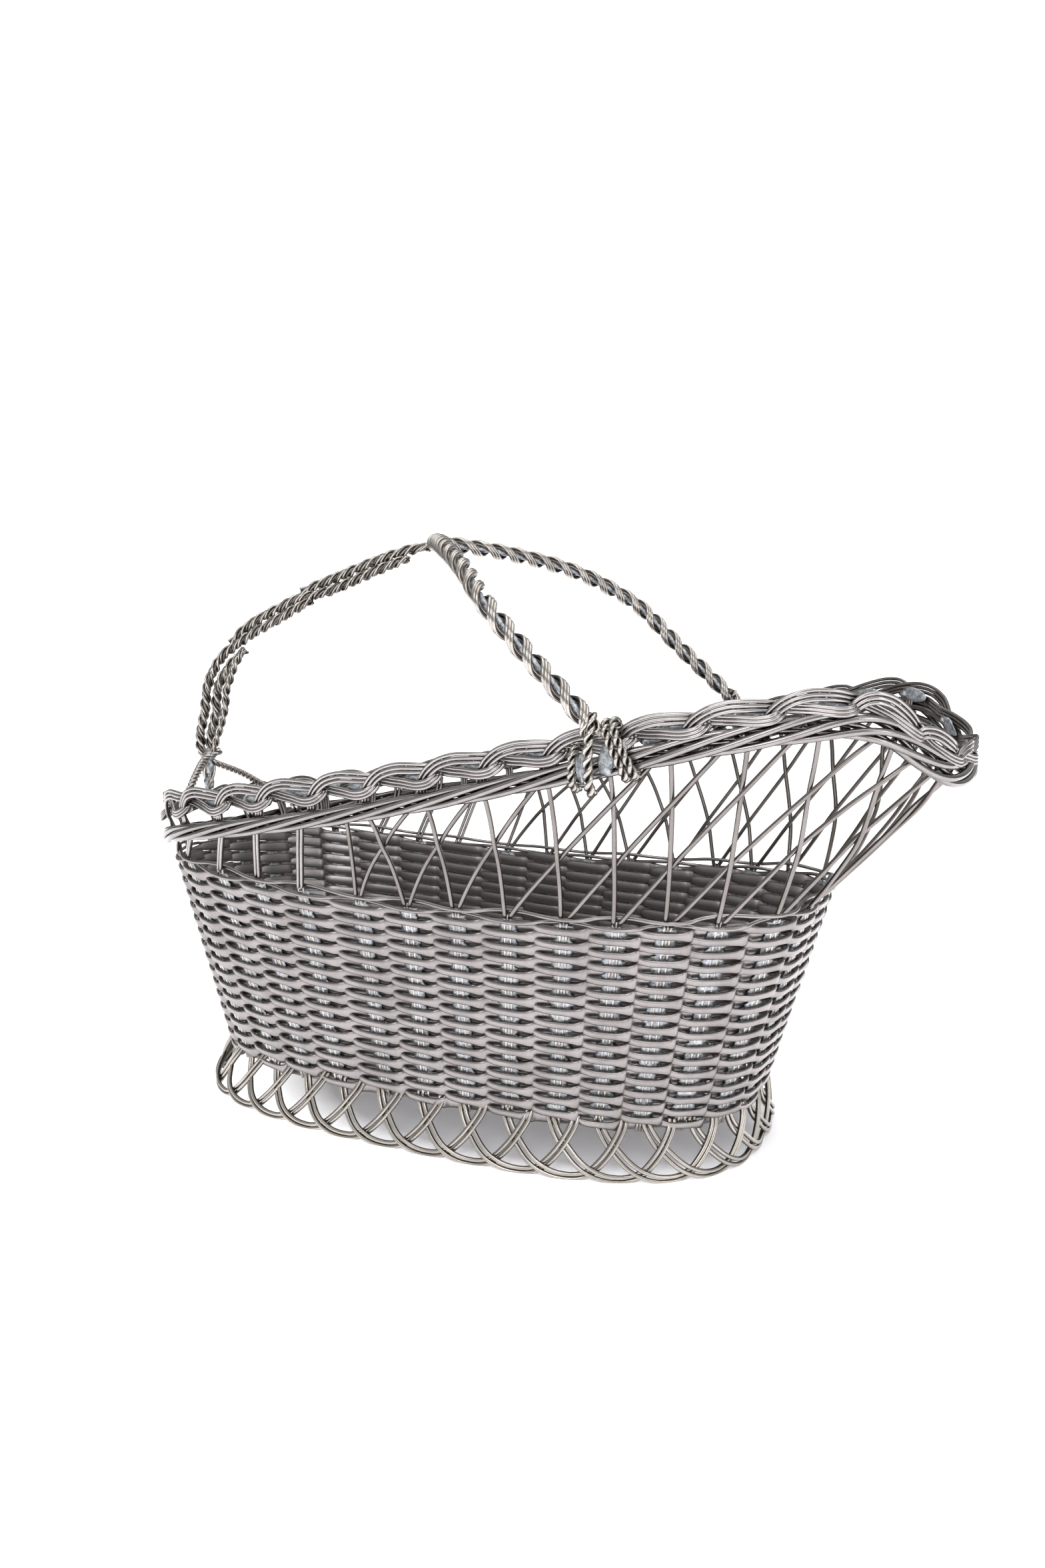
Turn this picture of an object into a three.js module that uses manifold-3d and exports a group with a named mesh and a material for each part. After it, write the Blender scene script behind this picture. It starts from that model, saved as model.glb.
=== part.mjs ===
// Bottle pouring basket woven of metal wire, in millimetres, +Z up, the spout towards +X.
import * as THREE from 'three';
import { mergeVertices } from 'three/addons/utils/BufferGeometryUtils.js';
import Module from 'manifold-3d';

const wasm = await Module();
wasm.setup();

// Stakes: they stand evenly round the basket, and every pattern follows them.
const stakeCount = 35;
const firstStake = 0.5; // stake spacings from the middle of the rear
const straightStakes = 7; // on each side of the rear, these rise as plain ribs
const courseCount = 32; // turns of the weaver up the wall, in front of one stake and behind the next
const spiralEnd = 0.25; // turns of room under the spiral's start and over its end

// Ovals of the basket: half sizes, centre along X, and how square each one is.
const footOval = { halfLength: 106, halfWidth: 61.9, centreX: 0, power: 2.8 };
const weaveFootOval = { halfLength: 102.5, halfWidth: 56.6, centreX: 2.5, power: 2.9 };
const weaveTopOval = { halfLength: 121, halfWidth: 61, centreX: 2.8, power: 3.6 };
// The rim's line against the top of the weave: how far it reaches out in front, at the rear and on the sides.
const rimReach = { front: 39, rear: -3, sideFront: 11.9, sideRear: 15.7 };
const rimOval = {
  halfLength: weaveTopOval.halfLength + (rimReach.front + rimReach.rear) / 2,
  rearHalfWidth: weaveTopOval.halfWidth + rimReach.sideRear,
  frontHalfWidth: weaveTopOval.halfWidth + rimReach.sideFront,
  centreX: weaveTopOval.centreX + (rimReach.front - rimReach.rear) / 2,
  rearPower: 3.2,
  frontPower: 2.7,
};

// Heights.
const footHeight = 17.4; // underside of the weave
const weaveHeight = 66; // weave on its long sides
const weaveEndRise = 5.9; // how much higher the weave stands at its two ends
const weaveForwardDrop = 2.3; // how much lower it stands at the front than at mid length
const rimRise = [0, 15.4, 15.4, 51.5, 52.5]; // rim line above the rear of the weave, as Bezier ordinates, rear to front
const lipDip = 18.7; // how far the neck lip sinks into the front of the rim
const lipSpread = 45.6; // how far that dip reaches to each side
const lipPower = 6; // how flat its bottom is

// Wall and floor.
const wallThick = 4.4;
const floorThick = 3.2;
const wallRelief = 2.4; // from the face of a weaver in front of a stake to one behind it
const floorRelief = 1.2;
const floorCourses = 22;
const seatGap = 0.3; // between pieces that rest on each other

// Wires.
const wireRadius = 0.85;
const pairHalfWidth = 1.7; // two wires side by side
const footWireHalfThick = 1.1;
const flatCut = 0.9; // depth of the flat on which each foot loop stands
const bandHalfThick = 2.1;
const bandHalfHeight = 2.1;
const borderWireHalfThick = 1;
const archHeightRear = 18.2; // border top above the rim line
const archHeightFront = 11.2;

// Handle.
const handleX = 66.3; // where the legs of the arch meet the rim
const archRadius = 3.4;
const legRadius = 1.7; // each leg thins to a twisted pair beside the rim
const apex = { x: -17, z: 200.6 };
const legOutset = 8.2; // how far outside the rim line the thin leg hangs
const legCurl = 1.2; // where its end lies under the band, out from the rim line
const legHeadOutset = 4.2;
const legHeadRise = 4; // of the rope's start over the border
const spineRadius = 4;
const spineSetback = 5.8; // of the knot behind the rim line
const spineFootY = -3;
const knotZ = 121.5;
const tailRadius = 2.2;
const stayRadius = 1.35;
const stayFootY = 25.5;
const bindingRadius = 1.35;
const bindingOffsets = { rear: -0.28, front: 0.22, outer: 0.51 }; // stake spacings from a leg to its bindings

const silver = new THREE.MeshStandardMaterial({ color: 0xb4aca3, roughness: 0.32, metalness: 1 });
const darkSilver = new THREE.MeshStandardMaterial({ color: 0x8f8a84, roughness: 0.4, metalness: 1 });

const up = new THREE.Vector3(0, 0, 1);
const basket = new THREE.Group();

const addPiece = (name, geometry, material = silver) => {
  const mesh = new THREE.Mesh(geometry, material);
  mesh.name = name;
  basket.add(mesh);
  return mesh;
};

// A closed surface from points and triangles, turned so that its faces point out.
const closedGeometry = (points, triangles) => {
  let volume = 0;
  const cross = new THREE.Vector3();
  for (const [a, b, c] of triangles) volume += points[a].dot(cross.crossVectors(points[b], points[c]));
  const order = volume > 0 ? triangles : triangles.map(([a, b, c]) => [a, c, b]);
  const geometry = new THREE.BufferGeometry();
  const positions = points.flatMap((p) => [p.x, p.y, p.z]);
  geometry.setAttribute('position', new THREE.Float32BufferAttribute(positions, 3));
  geometry.setIndex(order.flat());
  return geometry;
};

// Joining and cutting.
const toSolid = (geometry) => {
  const merged = mergeVertices(geometry, 1e-4);
  const vertProperties = new Float32Array(merged.attributes.position.array);
  const triVerts = new Uint32Array(merged.index.array);
  return new wasm.Manifold(new wasm.Mesh({ numProp: 3, vertProperties, triVerts }));
};
const toGeometry = (solid) => {
  const mesh = solid.getMesh();
  const geometry = new THREE.BufferGeometry();
  geometry.setAttribute('position', new THREE.Float32BufferAttribute(mesh.vertProperties, 3));
  geometry.setIndex([...mesh.triVerts]);
  return geometry;
};
const joinAll = (geometries) => geometries.map(toSolid).reduce((sum, solid) => sum.add(solid));

// An oval runs from the middle of the rear along the side of -Y, round the front and back along +Y.
const ovalPoint = (oval, angle) => {
  const c = Math.cos(angle);
  const s = Math.sin(angle);
  const power = oval.power ?? (c > 0 ? oval.frontPower : oval.rearPower);
  const along = Math.sign(c) * Math.abs(c) ** (2 / power);
  const rear = oval.rearHalfWidth ?? oval.halfWidth;
  const front = oval.frontHalfWidth ?? oval.halfWidth;
  const halfWidth = rear + ((front - rear) * (along + 1)) / 2;
  const y = halfWidth * Math.sign(s) * Math.abs(s) ** (2 / power);
  return { x: oval.centreX + oval.halfLength * along, y, along };
};

// The line of an oval at a height that may change along it, measured by its length from 0 to 1.
const ovalSamples = 1440;
const ovalLine = (oval, heightAt) => {
  const points = [];
  for (let i = 0; i <= ovalSamples; i++) {
    const { x, y, along } = ovalPoint(oval, Math.PI + (2 * Math.PI * i) / ovalSamples);
    points.push(new THREE.Vector3(x, y, heightAt(along, y)));
  }
  const lengths = [0];
  for (let i = 1; i < points.length; i++) lengths.push(lengths[i - 1] + points[i].distanceTo(points[i - 1]));
  const total = lengths[ovalSamples];
  const pointAt = (t) => {
    const wanted = (t - Math.floor(t)) * total;
    let low = 0;
    let high = ovalSamples;
    while (high - low > 1) {
      const middle = (low + high) >> 1;
      if (lengths[middle] > wanted) high = middle;
      else low = middle;
    }
    const share = (wanted - lengths[low]) / (lengths[high] - lengths[low]);
    return points[low].clone().lerp(points[high], share);
  };
  const tangentAt = (t) => pointAt(t + 0.002).sub(pointAt(t - 0.002)).normalize();
  const outAt = (t) => {
    const tangent = tangentAt(t);
    return new THREE.Vector3(tangent.y, -tangent.x, 0).normalize();
  };
  return { pointAt, tangentAt, outAt, total };
};

const weaveTopZ = (along) => footHeight + weaveHeight - weaveForwardDrop * along + weaveEndRise * along ** 2;
const weaveRearZ = weaveTopZ(-1);
const rimZ = (along, y) => {
  const s = (along + 1) / 2;
  const binomial = [1, 4, 6, 4, 1];
  const rise = rimRise.reduce((sum, h, i) => sum + h * binomial[i] * s ** i * (1 - s) ** (4 - i), 0);
  const dip = lipDip * Math.exp(-(Math.abs(y / lipSpread) ** lipPower)) * Math.max(along, 0) ** 2;
  return weaveRearZ + seatGap + rise - dip;
};

const footLine = ovalLine(footOval, () => 0);
const weaveFootLine = ovalLine(weaveFootOval, () => footHeight);
const weaveTopLine = ovalLine(weaveTopOval, weaveTopZ);
const rimLine = ovalLine(rimOval, rimZ);

// A tube through stations of { at, out, thick, wide }: thick lies along out, wide across it.
const sweep = (stations, { sides = 6, closed = false } = {}) => {
  const count = stations.length;
  const points = [];
  const triangles = [];
  stations.forEach(({ at, out, thick, wide }, i) => {
    const before = stations[closed ? (i + count - 1) % count : Math.max(i - 1, 0)].at;
    const after = stations[closed ? (i + 1) % count : Math.min(i + 1, count - 1)].at;
    const tangent = after.clone().sub(before).normalize();
    const outward = out.clone().addScaledVector(tangent, -out.dot(tangent)).normalize();
    const across = new THREE.Vector3().crossVectors(tangent, outward);
    for (let k = 0; k < sides; k++) {
      const angle = (2 * Math.PI * k) / sides;
      const p = at.clone().addScaledVector(outward, thick * Math.cos(angle));
      points.push(p.addScaledVector(across, wide * Math.sin(angle)));
    }
  });
  for (let i = 0; i < (closed ? count : count - 1); i++) {
    for (let k = 0; k < sides; k++) {
      const a = i * sides + k;
      const b = i * sides + ((k + 1) % sides);
      const c = ((i + 1) % count) * sides + k;
      const d = ((i + 1) % count) * sides + ((k + 1) % sides);
      triangles.push([a, c, b], [b, c, d]);
    }
  }
  if (!closed) {
    const last = (count - 1) * sides;
    for (let k = 1; k < sides - 1; k++) {
      triangles.push([0, k, k + 1], [last, last + k + 1, last + k]);
    }
  }
  return closedGeometry(points, triangles);
};

// Evenly spread stations along a list of them, smoothed by a curve.
const smoothStations = (stations, steps) => {
  const curve = new THREE.CatmullRomCurve3(stations.map((s) => s.at), false, 'centripetal');
  const last = stations.length - 1;
  return Array.from({ length: steps + 1 }, (_, i) => {
    const f = (i / steps) * last;
    const low = Math.min(Math.floor(f), last - 1);
    const share = f - low;
    const mix = (key) => stations[low][key] + (stations[low + 1][key] - stations[low][key]) * share;
    const out = stations[low].out.clone().lerp(stations[low + 1].out, share).normalize();
    return { at: curve.getPoint(i / steps), out, thick: mix('thick'), wide: mix('wide') };
  });
};

// A ring wall between closed rows of points, given from the outer foot round to the inner foot.
const ringWall = (rows) => {
  const count = rows[0].length;
  const points = rows.flat();
  const triangles = [];
  rows.forEach((row, r) => {
    const next = (r + 1) % rows.length;
    for (let i = 0; i < count; i++) {
      const j = (i + 1) % count;
      triangles.push([r * count + i, r * count + j, next * count + i]);
      triangles.push([r * count + j, next * count + j, next * count + i]);
    }
  });
  return closedGeometry(points, triangles);
};

const stakeAt = (index) => (index + firstStake) / stakeCount;

// One weaver climbs the wall in a spiral. It is in front where this is 1, behind where it is -1.
const weaveSide = (stake, course) => {
  if (!Number.isInteger(stake)) return 0;
  return (stake + course) % 2 === 0 ? 1 : -1;
};

// Wall of the basket: the body of the weave, open at the top and bottom.
const wallSteps = 2 * stakeCount; // at each stake and midway between two
const wallPoint = (t, share, inset) => {
  const point = weaveFootLine.pointAt(t).lerp(weaveTopLine.pointAt(t), share);
  return point.addScaledVector(weaveFootLine.outAt(t), -inset);
};
const wallRow = (shareAt, insetAt) => Array.from({ length: wallSteps }, (_, i) => {
  const stake = i / 2;
  return wallPoint(stakeAt(stake), shareAt(stake), insetAt(stake));
});
const buildWall = () => {
  const courses = Array.from({ length: courseCount }, (_, course) => wallRow(
    (stake) => (course + spiralEnd + stake / stakeCount) / (courseCount + 2 * spiralEnd),
    (stake) => (wallRelief * (1 - weaveSide(stake, course))) / 2,
  ));
  const edge = (share, inset) => wallRow(() => share, () => inset);
  return ringWall([edge(0, 0), ...courses, edge(1, 0), edge(1, wallThick), edge(0, wallThick)]);
};
addPiece('woven_wall', buildWall());

// Floor: the same weave, wound from the foot of the wall in to a short middle line.
const floorInset = wallThick + seatGap + 0.2;
const floorCore = 0.5; // length of the middle line against the floor's
const floorPoint = (t, share, height) => {
  const edge = weaveFootLine.pointAt(t).addScaledVector(weaveFootLine.outAt(t), -floorInset);
  const coreX = weaveFootOval.centreX + (edge.x - weaveFootOval.centreX) * floorCore;
  return new THREE.Vector3(edge.x + (coreX - edge.x) * share, edge.y * (1 - share), footHeight + height);
};
const buildFloor = () => {
  const points = [];
  const triangles = [];
  const addRow = (count, at) => Array.from({ length: count }, (_, i) => points.push(at(i)) - 1);
  const edgeRow = (height) => addRow(wallSteps, (i) => floorPoint(stakeAt(i / 2), 0, height));
  const courseRow = (course, height) => addRow(stakeCount, (stake) => {
    const share = (course + 0.5 + stake / stakeCount) / (floorCourses + 1.5); // less than 1 at the middle line
    return floorPoint(stakeAt(stake), share, height - (floorRelief * (1 - weaveSide(stake, course))) / 2);
  });
  const middle = (height) => points.push(new THREE.Vector3(weaveFootOval.centreX, 0, footHeight + height)) - 1;
  const courses = Array.from({ length: floorCourses }, (_, course) => course);
  const under = courses.map((course) => courseRow(course, floorRelief)).reverse();
  const over = courses.map((course) => courseRow(course, floorThick));
  const underEdge = edgeRow(0);
  const overEdge = edgeRow(floorThick);
  // The edge has two points for each point of a course.
  const join = (from, to) => {
    const at = (row, i) => row[Math.floor(((i % wallSteps) * row.length) / wallSteps)];
    for (let i = 0; i < wallSteps; i++) {
      const [a, b, c, d] = [at(from, i), at(from, i + 1), at(to, i), at(to, i + 1)];
      if (a !== b) triangles.push([a, b, c]);
      if (c !== d) triangles.push([b, d, c]);
    }
  };
  const rows = [...under, underEdge, overEdge, ...over];
  rows.slice(1).forEach((row, i) => join(rows[i], row));
  const [first, last] = [rows[0], rows[rows.length - 1]];
  const low = middle(0);
  const high = middle(floorThick);
  first.forEach((p, i) => {
    const next = (i + 1) % stakeCount;
    triangles.push([low, first[next], p], [last[i], last[next], high]);
  });
  return closedGeometry(points, triangles);
};
addPiece('floor', buildFloor(), darkSilver);

// Foot border: one loop per stake, from under the weave down and on to between the second and third stake.
const footLoop = [
  { along: 0.2, drop: 0, lift: 0 },
  { along: 0.5, drop: 0.36, lift: -0.2 },
  { along: 0.88, drop: 0.68, lift: 0.5 },
  { along: 1.3, drop: 0.9, lift: 0.6 },
  { along: 1.75, drop: 0.98, lift: 0.1 },
  { along: 2.15, drop: 0.86, lift: -0.6 },
  { along: 2.5, drop: 0.5, lift: 0.2 },
  { along: 2.75, drop: 0, lift: 0.9 },
];
const footInset = wallThick / 2;
const footPoint = (t, drop, lift) => {
  const low = footLine.pointAt(t).addScaledVector(footLine.outAt(t), -footWireHalfThick);
  low.z = pairHalfWidth - flatCut;
  const high = weaveFootLine.pointAt(t).addScaledVector(weaveFootLine.outAt(t), -footInset);
  high.z = footHeight - seatGap;
  return high.lerp(low, drop).addScaledVector(footLine.outAt(t), lift);
};
const buildFootBorder = () => {
  const loops = [];
  for (let i = 0; i < stakeCount; i++) {
    const stations = footLoop.map(({ along, drop, lift }) => {
      const t = stakeAt(i) + along / stakeCount;
      return { at: footPoint(t, drop, lift), out: footLine.outAt(t), thick: footWireHalfThick, wide: pairHalfWidth };
    });
    stations[0].at.z += 1;
    stations[stations.length - 1].at.z += 1;
    loops.push(sweep(stations, { sides: 4 }));
  }
  const reach = 4 * (footOval.halfLength + footOval.halfWidth);
  const slab = (low, high) => {
    const box = new THREE.BoxGeometry(reach, reach, high - low);
    box.translate(0, 0, (low + high) / 2);
    box.deleteAttribute('normal');
    box.deleteAttribute('uv');
    return toSolid(box);
  };
  const height = footHeight - seatGap;
  const joined = joinAll(loops).subtract(slab(-footHeight, 0)).subtract(slab(height, height + footHeight));
  return toGeometry(joined);
};
addPiece('foot_border', buildFootBorder());

// Rim band: a bundle of heavy wires along the rim line.
const bandCentre = (t) => rimLine.pointAt(t).addScaledVector(up, bandHalfHeight);
const buildBand = () => {
  const steps = 2 * stakeCount;
  const stations = Array.from({ length: steps }, (_, i) => {
    const t = i / steps;
    return { at: bandCentre(t), out: rimLine.outAt(t), thick: bandHalfThick, wide: bandHalfHeight };
  });
  return sweep(stations, { sides: 6, closed: true });
};
addPiece('rim_band', buildBand());

// How far the band's upper or lower face lies from its centre, measured straight up, with room for a wire's end.
const bandClearance = (t, endRadius) => {
  const tangent = rimLine.tangentAt(t);
  const level = Math.hypot(tangent.x, tangent.y);
  return bandHalfHeight / level + seatGap + (endRadius * Math.abs(tangent.z)) / level;
};

// Rim border: one braided arch per stake, standing on the band.
const borderArch = [
  { along: 0, rise: 0, lift: 0 },
  { along: 0, rise: 0.44, lift: 0 },
  { along: 0.24, rise: 0.78, lift: 0.4 },
  { along: 0.85, rise: 0.94, lift: 0.4 },
  { along: 1.3, rise: 0.82, lift: -1.2 },
  { along: 1.95, rise: 0.47, lift: 1.5 },
  { along: 2.12, rise: 0.57, lift: 0.5 },
];
const archHeight = (t) => {
  const share = (rimLine.pointAt(t).x - rimOval.centreX) / (2 * rimOval.halfLength) + 0.5;
  return archHeightRear + (archHeightFront - archHeightRear) * share;
};
const borderPoint = (t, rise, lift) => {
  const base = bandCentre(t).addScaledVector(up, bandClearance(t, pairHalfWidth));
  const top = rimLine.pointAt(t).addScaledVector(up, archHeight(t) - borderWireHalfThick);
  return base.lerp(top, rise).addScaledVector(rimLine.outAt(t), lift);
};
const ribTop = 0.38; // share of the arch height where a rib joins its arch
const ribTuck = 5; // how far a rib runs down inside the wall
const ribHalfWidth = 1.6;
const buildRib = (t) => {
  const inside = wallThick + 2 * seatGap + wireRadius;
  const wallOut = weaveFootLine.outAt(t);
  const alongWall = (share) => (
    weaveFootLine.pointAt(t).lerp(weaveTopLine.pointAt(t), share).addScaledVector(wallOut, -inside)
  );
  const foot = alongWall(1 - ribTuck / weaveHeight);
  const waist = alongWall(1 + 0.5 / weaveHeight);
  const inset = -(bandHalfThick + seatGap + wireRadius + 0.3);
  const clearance = bandClearance(t, ribHalfWidth);
  const collar = bandCentre(t).addScaledVector(rimLine.outAt(t), inset).addScaledVector(up, -clearance);
  collar.z = Math.max(collar.z, waist.z + 0.2);
  const neck = bandCentre(t).addScaledVector(rimLine.outAt(t), inset).addScaledVector(up, clearance + 1);
  const path = [foot, waist, collar, neck, borderPoint(t, ribTop, 0)];
  const stations = path.map((at) => ({ at, out: rimLine.outAt(t), thick: wireRadius, wide: ribHalfWidth }));
  return sweep(stations, { sides: 4 });
};
const buildBorder = () => {
  const parts = [];
  for (let i = 0; i < stakeCount; i++) {
    const stations = borderArch.map(({ along, rise, lift }) => {
      const t = stakeAt(i) + along / stakeCount;
      return { at: borderPoint(t, rise, lift), out: rimLine.outAt(t), thick: borderWireHalfThick, wide: pairHalfWidth };
    });
    parts.push(sweep(stations, { sides: 4 }));
  }
  for (let i = -straightStakes; i < straightStakes; i++) parts.push(buildRib(stakeAt(i)));
  return toGeometry(joinAll(parts));
};
addPiece('rim_border', buildBorder());

// Lattice between the weave and the rim band: a steep upright and a slanting tie from each open stake.
// Each shift is in stake spacings from the stake to where its wire meets the band, from the rear to the front.
const uprightShift = [-0.4, -1.05, -1.05, -1.12, -1.15, -1.26, -1.43, -1.42, -1.5, -1.42];
const tieShift = [0.7, 0.7, 0.7, 1.47, 1.37, 1.3, 1.39, 1.07, 0.54, 0.05];
const stakeDrift = [0.25, 0.26, 0.22, 0.21, 0.23, 0.14, 0, -0.14, -0.08, 0]; // of the open stakes' heads
const frontShift = 1.25; // the stake in the middle of the front spreads evenly
const layerGap = wireRadius + 0.45;
const latticeSteps = 4;
// The lattice lies on the surface from the top of the weave to the underside of the band, in two layers.
const endRise = 1.2; // a wire leaves the weave and meets the band square, over this height
const latticePoint = (t, share, layer) => {
  const low = weaveTopLine.pointAt(t).addScaledVector(weaveTopLine.outAt(t), -wallThick / 2);
  low.addScaledVector(up, seatGap + 0.1 + endRise);
  const high = bandCentre(t).addScaledVector(up, -bandClearance(t, wireRadius) - endRise);
  return low.lerp(high, share).addScaledVector(rimLine.outAt(t), layer);
};
const latticeWire = (index, drift, shift, side) => {
  const sidestep = (Math.sign(shift) * (wireRadius + seatGap)) / weaveTopLine.total;
  const t0 = stakeAt(index + drift) + sidestep;
  const t1 = stakeAt(index) + shift / stakeCount;
  const layer = side * layerGap;
  const points = Array.from({ length: latticeSteps + 1 }, (_, k) => {
    const share = k / latticeSteps;
    const t = t0 + (t1 - t0) * share;
    return { at: latticePoint(t, share, layer), t };
  });
  const foot = { at: points[0].at.clone().addScaledVector(up, -endRise), t: t0 };
  const head = { at: points[latticeSteps].at.clone().addScaledVector(up, endRise), t: t1 };
  const stations = [foot, ...points, head].map(({ at, t }) => ({
    at, out: rimLine.outAt(t), thick: wireRadius, wide: wireRadius,
  }));
  return sweep(stations, { sides: 5 });
};
const mirrored = (geometry) => {
  const position = geometry.attributes.position;
  const points = Array.from({ length: position.count }, (_, i) => (
    new THREE.Vector3(position.getX(i), -position.getY(i), position.getZ(i))
  ));
  const index = [...geometry.index.array];
  const triangles = Array.from({ length: index.length / 3 }, (_, i) => index.slice(3 * i, 3 * i + 3));
  return closedGeometry(points, triangles);
};
uprightShift.forEach((shift, i) => {
  const index = straightStakes + i;
  const number = String(i + 1).padStart(2, '0');
  const upright = latticeWire(index, stakeDrift[i], shift, 1);
  const tie = latticeWire(index, stakeDrift[i], tieShift[i], -1);
  addPiece(`upright_near_${number}`, upright);
  addPiece(`upright_far_${number}`, mirrored(upright));
  addPiece(`tie_near_${number}`, tie);
  addPiece(`tie_far_${number}`, mirrored(tie));
});
const frontStake = (stakeCount - 1) / 2;
const frontUpright = latticeWire(frontStake, 0, -frontShift, 1);
addPiece('upright_front_near', frontUpright);
addPiece('upright_front_far', mirrored(frontUpright));

// Handle arch: a rope of wire links over the basket, its legs hanging outside the rim.
const rimAtHandle = (() => {
  let low = 0.25;
  let high = 0.45;
  for (let i = 0; i < 40; i++) {
    const middle = (low + high) / 2;
    if (rimLine.pointAt(middle).x < handleX) low = middle;
    else high = middle;
  }
  return low;
})();
const handleRim = rimLine.pointAt(rimAtHandle);
const handleOut = rimLine.outAt(rimAtHandle);
const borderTopZ = handleRim.z + archHeight(rimAtHandle);
const legPoint = (height, outset) => {
  const point = handleRim.clone().addScaledVector(handleOut, outset);
  point.z = handleRim.z + height;
  return point;
};
// Each shoulder point gives the shares of the way from the leg's head to the apex, in X, Y and Z.
const shoulder = [
  { x: 0.22, y: 0.02, z: 0.3 },
  { x: 0.39, y: 0.05, z: 0.57 },
  { x: 0.5, y: 0.15, z: 0.7 },
  { x: 0.6, y: 0.27, z: 0.8 },
  { x: 0.72, y: 0.44, z: 0.89 },
  { x: 0.87, y: 0.73, z: 0.97 },
];
const borderRise = borderTopZ - handleRim.z;
const legHead = legPoint(borderRise + legHeadRise, legHeadOutset);
const buildArch = () => {
  const nearSide = [
    { at: legPoint(-legRadius - seatGap - 0.1, legCurl), radius: legRadius },
    { at: legPoint(-legRadius - seatGap, legOutset - 2 * legRadius), radius: legRadius },
    { at: legPoint(legRadius, legOutset - 0.5), radius: legRadius },
    { at: legPoint(3.5 * legRadius, legOutset), radius: legRadius },
    { at: legPoint(borderRise - legHeadRise, legOutset - 0.4), radius: legRadius + 0.2 },
    { at: legHead, radius: (legRadius + archRadius) / 2 },
    ...shoulder.map(({ x, y, z }) => ({
      at: new THREE.Vector3(
        legHead.x + (apex.x - legHead.x) * x,
        legHead.y * (1 - y),
        legHead.z + (apex.z - legHead.z) * z,
      ),
      radius: archRadius,
    })),
  ];
  const top = { at: new THREE.Vector3(apex.x, 0, apex.z), radius: archRadius };
  const farSide = nearSide.map(({ at, radius }) => ({ at: new THREE.Vector3(at.x, -at.y, at.z), radius })).reverse();
  const out = new THREE.Vector3(1, 0, 0.8).normalize();
  const stations = [...nearSide, top, ...farSide].map(({ at, radius }) => ({
    at, out, thick: radius, wide: radius,
  }));
  return sweep(smoothStations(stations, 32), { sides: 6 });
};
addPiece('handle_arch', buildArch());

// Rear spine: a plaited bundle from the knot above the rear rim up to the apex of the arch.
const spineTop = new THREE.Vector3(apex.x - archRadius - seatGap, 0, apex.z - 1.2);
const spineShares = [
  { x: 0, z: 0 },
  { x: -0.02, z: 0.12 },
  { x: 0.01, z: 0.27 },
  { x: 0.06, z: 0.42 },
  { x: 0.2, z: 0.62 },
  { x: 0.37, z: 0.73 },
  { x: 0.53, z: 0.82 },
  { x: 0.74, z: 0.92 },
  { x: 0.9, z: 0.98 },
  { x: 1, z: 1 },
];
const spineFoot = new THREE.Vector3(rimLine.pointAt(0).x - spineSetback, spineFootY, knotZ);
const buildSpine = () => {
  const stations = spineShares.map(({ x, z }) => {
    const at = new THREE.Vector3(
      spineFoot.x + (spineTop.x - spineFoot.x) * x,
      spineFoot.y + (spineTop.y - spineFoot.y) * z,
      spineFoot.z + (spineTop.z - spineFoot.z) * z,
    );
    return { at, out: new THREE.Vector3(0, 1, 0), thick: spineRadius, wide: spineRadius };
  });
  return sweep(smoothStations(stations, 18), { sides: 6 });
};
addPiece('handle_spine', buildSpine());

// Tail and stays: three twisted ropes that carry the foot of the spine on the rear of the rim.
const rearTop = rimLine.pointAt(0).z + archHeightRear;
const tailFoot = new THREE.Vector3(rimLine.pointAt(0).x - 0.5, spineFootY, rearTop + seatGap - 0.6);
const tailHead = spineFoot.clone().addScaledVector(up, -seatGap - 0.6);
const rope = (points, radius, steps, sides = 6) => {
  const stations = points.map((at) => ({ at, out: new THREE.Vector3(1, 0.01, 0), thick: radius, wide: radius }));
  return sweep(smoothStations(stations, steps), { sides });
};
addPiece('spine_tail', rope([tailFoot, tailFoot.clone().lerp(tailHead, 0.5), tailHead], tailRadius, 4));

const stayFootT = (() => {
  let low = 0;
  let high = 0.2;
  for (let i = 0; i < 40; i++) {
    const middle = (low + high) / 2;
    if (-rimLine.pointAt(middle).y < stayFootY) low = middle;
    else high = middle;
  }
  return low;
})();
const buildStay = (side) => {
  const foot = rimLine.pointAt(stayFootT);
  foot.y *= -side;
  foot.z += archHeight(stayFootT) + stayRadius - 0.6;
  const sideGap = spineRadius + stayRadius + seatGap - 0.4;
  const head = spineFoot.clone().add(new THREE.Vector3(0, side * sideGap, 3));
  const middle = foot.clone().lerp(head, 0.5).addScaledVector(up, 1);
  return rope([foot, middle, head], stayRadius, 6);
};
addPiece('stay_near', buildStay(-1));
addPiece('stay_far', buildStay(1));

// Bindings: twisted wire taken round the band and the border beside each leg.
// Its points: how far out from the rim line, and a height given as millimetres plus a share of the border's.
const bindingLoop = [
  { out: -5, height: 0.5, share: 0 },
  { out: -5.2, height: 0, share: 0.55 },
  { out: -3.8, height: 0.4, share: 0.92 },
  { out: 0.6, height: 1.9, share: 1 },
  { out: 4.6, height: 0.4, share: 0.92 },
  { out: 5.6, height: 0, share: 0.55 },
  { out: 5, height: 0, share: 0 },
  { out: 0.6, height: -3.4, share: 0 },
  { out: -4, height: -2.2, share: 0 },
];
const buildBinding = (offset) => {
  const t = rimAtHandle + offset / stakeCount;
  const out = rimLine.outAt(t);
  const base = rimLine.pointAt(t);
  const stations = bindingLoop.map((p) => ({
    at: base.clone().addScaledVector(out, p.out).addScaledVector(up, p.height + p.share * archHeight(t)),
    out: rimLine.tangentAt(t),
    thick: bindingRadius,
    wide: bindingRadius,
  }));
  return sweep(stations, { sides: 6, closed: true });
};
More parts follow.
